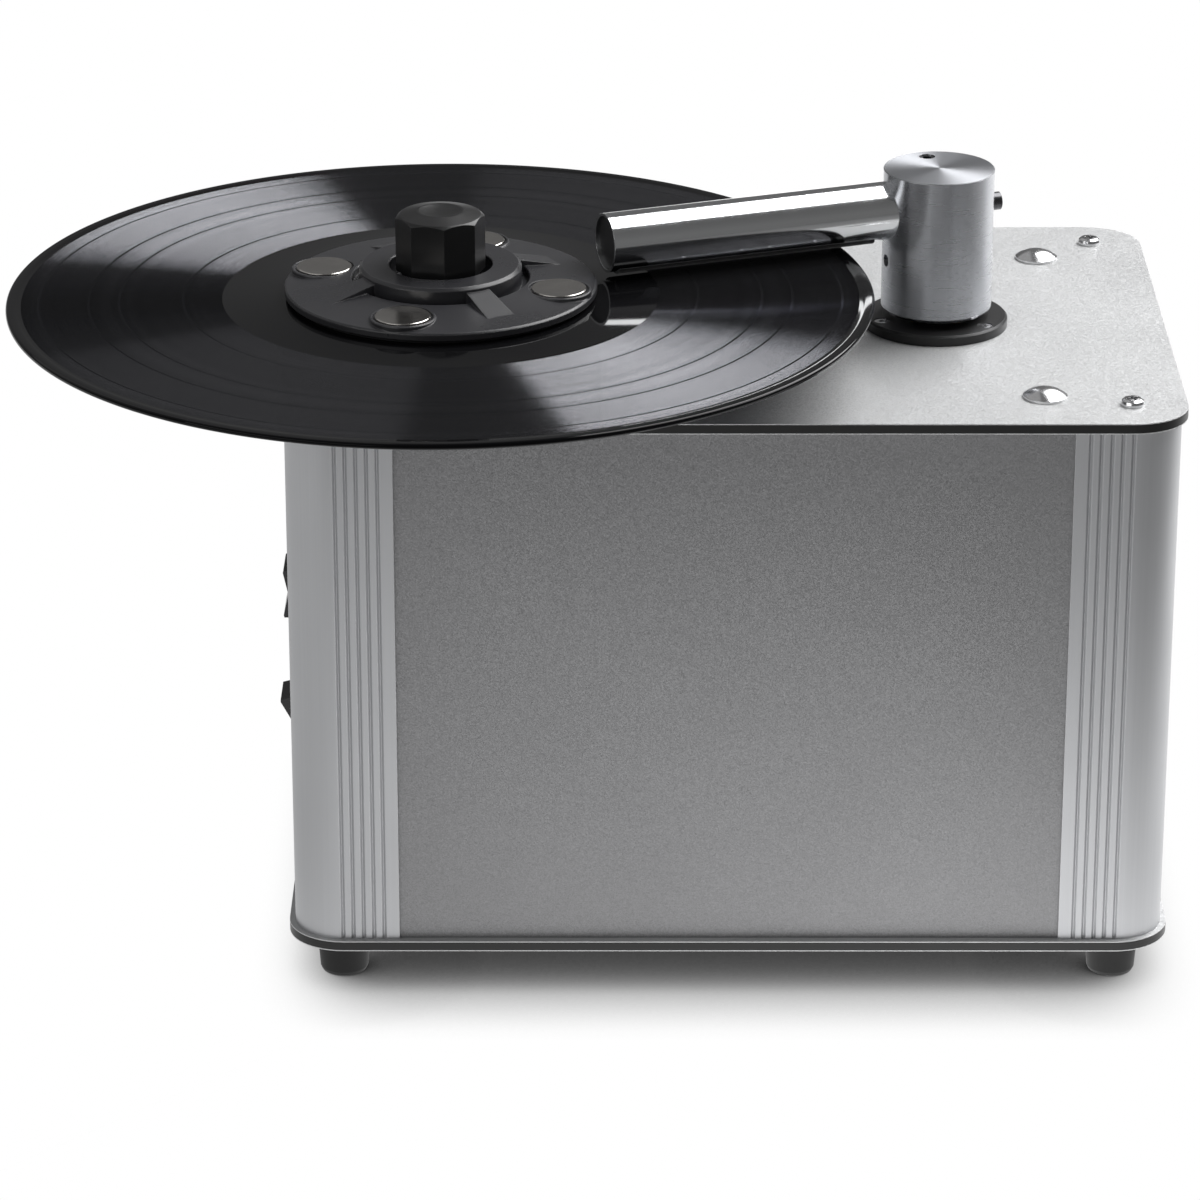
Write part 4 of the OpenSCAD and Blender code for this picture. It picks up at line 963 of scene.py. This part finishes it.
def floor_material(studio):
    """A white floor, which glows more near the object.

    The camera sees it as pure white with a short soft shadow round what stands on it.
    """
    material = bpy.data.materials.new("Studio floor")
    material.use_nodes = True
    tree = material.node_tree
    tree.nodes.clear()
    matt = add_node(tree, "ShaderNodeBsdfDiffuse", {"Color": (*studio.floor[:3], 1)}).outputs[0]
    place = object_place(tree)
    across = split(tree, place)["X"]
    level = floor_glow(tree, place, across, studio)
    glow = add_node(tree, "ShaderNodeEmission", {"Strength": level}).outputs[0]
    lit = add_node(tree, "ShaderNodeAddShader", {0: matt, 1: glow}).outputs[0]
    shadow = floor_shadow(tree, across)
    white = add_node(tree, "ShaderNodeEmission", {"Strength": shadow}).outputs[0]
    seen = add_node(tree, "ShaderNodeLightPath").outputs["Is Camera Ray"]
    mix = add_node(tree, "ShaderNodeMixShader", {0: seen, 1: lit, 2: white}).outputs[0]
    add_node(tree, "ShaderNodeOutputMaterial", {"Surface": mix})
    return material


def add_floor(studio):
    """A large square just under the feet."""
    reach = 8
    corners = [(-reach, -reach, 0), (reach, -reach, 0), (reach, reach, 0), (-reach, reach, 0)]
    mesh = bpy.data.meshes.new("Floor")
    mesh.from_pydata(corners, [], [(0, 1, 2, 3)])
    mesh.materials.append(floor_material(studio))
    floor = add_object("Floor", mesh)
    floor.location.z = -0.1 * MM


def add_room(studio):
    """A dim room all round, which the camera sees as white."""
    world = bpy.data.worlds.new("Studio")
    bpy.context.scene.world = world
    world.use_nodes = True
    tree = world.node_tree
    tree.nodes.clear()
    white = (1, 1, 1, 1)
    seen = add_node(tree, "ShaderNodeLightPath").outputs["Is Camera Ray"]
    up = add_node(tree, "ShaderNodeTexCoord").outputs["Generated"]
    level = spread(tree, split(tree, up)["Z"], 0.3, 0.8, studio.room_low, studio.room_high)
    room = add_node(tree, "ShaderNodeBackground", {"Strength": level, "Color": white}).outputs[0]
    backdrop = add_node(tree, "ShaderNodeBackground", {"Color": white}).outputs[0]
    mix = add_node(tree, "ShaderNodeMixShader", {0: seen, 1: room, 2: backdrop}).outputs[0]
    add_node(tree, "ShaderNodeOutputWorld", {"Surface": mix})


# Operators


class WASHER_OT_effects(bpy.types.Operator):
    """Make the shared shader effects"""

    bl_idname = "washer.effects"
    bl_label = "Shader effects"

    def execute(self, context):
        for make in EFFECTS:
            make()
        return {"FINISHED"}


class WASHER_OT_stage(bpy.types.Operator):
    """Set up the camera, the lights and the floor"""

    bl_idname = "washer.stage"
    bl_label = "Stage"

    def execute(self, context):
        studio = context.scene.washer_studio
        add_camera(studio)
        add_lights(studio)
        add_floor(studio)
        add_room(studio)
        context.scene.view_settings.view_transform = "Standard"
        return {"FINISHED"}


class WASHER_OT_plates(bpy.types.Operator):
    """Finish the top and bottom plates"""

    bl_idname = "washer.plates"
    bl_label = "Plates"

    def execute(self, context):
        dress("plate_skin", satin_silver())
        dress("plate_core", black_core())
        return {"FINISHED"}


class WASHER_OT_casing(bpy.types.Operator):
    """Finish the corner posts, the panels and the feet"""

    bl_idname = "washer.casing"
    bl_label = "Posts, panels and feet"

    def execute(self, context):
        dress("post_metal", anodised())
        dress("panel_metal", metallic_grey())
        dress("rubber", rubber())
        return {"FINISHED"}


class WASHER_OT_fasteners(bpy.types.Operator):
    """Finish the screws, bolts and nuts"""

    bl_idname = "washer.fasteners"
    bl_label = "Screws and bolts"

    def execute(self, context):
        dress("bright_steel", steel("Bright steel", finishes().bright_steel, 0.2))
        dress("plain_steel", steel("Plain steel", finishes().plain_steel, 0.38))
        dress("dark_steel", steel("Dark steel", (0.12, 0.12, 0.125), 0.3))
        return {"FINISHED"}


class WASHER_OT_record(bpy.types.Operator):
    """Make the record and finish its label"""

    bl_idname = "washer.record"
    bl_label = "Record"

    def execute(self, context):
        data = lathe("record_disc", record_outline(), context.scene.washer_pieces.record_steps)
        place = (SPINDLE.x, SPINDLE.y, (RECORD_LOW.z + RECORD_HIGH.z) / 2)
        material = vinyl()
        dress("record_black", material)
        disc = add_piece("record_disc", data, place, "platter", material, ["record"])
        sharpen_corners(disc, 25)
        dress("label_paper", label_paper())
        return {"FINISHED"}


class WASHER_OT_clamp(bpy.types.Operator):
    """Finish the record clamp"""

    bl_idname = "washer.clamp"
    bl_label = "Record clamp"

    def execute(self, context):
        dress("clamp_black", clamp_plastic())
        dress_node("clamp_knob", knob_plastic())
        dress_node("clamp_coins", steel("Coins", finishes().coin, 0.17))
        return {"FINISHED"}


class WASHER_OT_arm(bpy.types.Operator):
    """Finish the pillar, its flange, the suction tube and its felt"""

    bl_idname = "washer.arm"
    bl_label = "Suction arm"

    def execute(self, context):
        dress("turned_metal", turned_aluminium("Turned pillar", PILLAR))
        dress("chromed_tube", polished_chrome())
        dress("black_metal", black_anodised())
        material = felt()
        dress("felt", material)

        # The tube starts a little beside the pillar's axis and ends short of the clamp.
        tube_offset = 3 * MM
        tube_to_clamp = 5.95 * MM
        low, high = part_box("suction_tube")
        radius = (high.z - low.z) / 2
        clamp_low, clamp_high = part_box("clamp_disc")
        span = SPINDLE - PILLAR
        reach = span.to_2d().length - (clamp_high.x - clamp_low.x) / 2 - tube_to_clamp
        bearing = math.atan2(span.y, span.x)
        tip = PILLAR + reach * Vector((math.cos(bearing), math.sin(bearing), 0))
        tip.z = (low.z + high.z) / 2
        bearing += math.asin(tube_offset / reach)
        start = tip - reach * Vector((math.cos(bearing), math.sin(bearing), 0))

        # The strips meet before and after the slot, and leave it open between them.
        felt_start = 26 * MM
        slot_start = 39 * MM
        slot_end = reach - 8 * MM
        felt_end = reach - 3.2 * MM
        slot_width = 3 * MM
        closed = 0.1 * MM
        stretches = [
            (felt_start, slot_start, closed),
            (slot_start, slot_end, slot_width),
            (slot_end, felt_end, closed),
        ]
        sizes = context.scene.washer_pieces
        data = felt_strips(radius, stretches, sizes.felt_arc, sizes.felt_thickness)
        data.transform(Matrix.Rotation(bearing, 4, "Z"))
        strips = add_piece("felt_strips", data, start, "arm", material, ["felt_lips"])
        sharpen_corners(strips, 60)
        return {"FINISHED"}


class WASHER_OT_turntable(bpy.types.Operator):
    """Finish the platter, the spindle and their bushes"""

    bl_idname = "washer.turntable"
    bl_label = "Turntable"

    def execute(self, context):
        dress("platter_metal", turned_aluminium("Turned platter", SPINDLE))
        dress("spindle_steel", steel("Ground spindle", finishes().bright_steel, 0.2))
        dress("brass", steel("Brass", finishes().brass, 0.3))
        return {"FINISHED"}


class WASHER_OT_fittings(bpy.types.Operator):
    """Finish the switches, the mains inlet and the rear fittings"""

    bl_idname = "washer.fittings"
    bl_label = "Switches and fittings"

    def execute(self, context):
        dress("black_plastic", black_plastic())
        dress("switch_black", switch_plastic())
        return {"FINISHED"}


class WASHER_OT_works(bpy.types.Operator):
    """Finish what is inside: motors, tank, hoses and duct"""

    bl_idname = "washer.works"
    bl_label = "Inner works"

    def execute(self, context):
        dress("gear_motor_steel", steel("Motor can", (0.28, 0.29, 0.3), 0.4))
        dress("fan_metal", steel("Cast fan housing", (0.3, 0.31, 0.32), 0.5))
        dress("tank_plastic", tank_plastic())
        dress("hose_rubber", hose_rubber())
        return {"FINISHED"}


class WASHER_PT_panel(bpy.types.Panel):
    """Lists the pieces and their sizes and colours"""

    bl_idname = "WASHER_PT_panel"
    bl_label = "Record washer"
    bl_space_type = "VIEW_3D"
    bl_region_type = "UI"
    bl_category = "Record washer"

    def draw(self, context):
        for operator in OPERATORS:
            self.layout.operator(operator.bl_idname)
        for name in SETTINGS:
            box = self.layout.box()
            settings = getattr(context.scene, name)
            for prop in settings.bl_rna.properties.keys():
                if prop not in ("rna_type", "name"):
                    box.prop(settings, prop)


SETTINGS = {
    "washer_studio": StudioSettings,
    "washer_finishes": FinishSettings,
    "washer_pieces": PieceSettings,
}
OPERATORS = (
    WASHER_OT_effects,
    WASHER_OT_stage,
    WASHER_OT_plates,
    WASHER_OT_casing,
    WASHER_OT_fasteners,
    WASHER_OT_record,
    WASHER_OT_clamp,
    WASHER_OT_arm,
    WASHER_OT_turntable,
    WASHER_OT_fittings,
    WASHER_OT_works,
)


def register():
    for kind in (*SETTINGS.values(), *OPERATORS, WASHER_PT_panel):
        bpy.utils.register_class(kind)
    for name, kind in SETTINGS.items():
        setattr(bpy.types.Scene, name, PointerProperty(type=kind))


def unregister():
    for name in SETTINGS:
        delattr(bpy.types.Scene, name)
    for kind in reversed((*SETTINGS.values(), *OPERATORS, WASHER_PT_panel)):
        bpy.utils.unregister_class(kind)


def main():
    """Builds everything."""
    register()
    for operator in OPERATORS:
        getattr(bpy.ops.washer, operator.bl_idname.split(".")[1])()


if __name__ == "__main__":
    main()
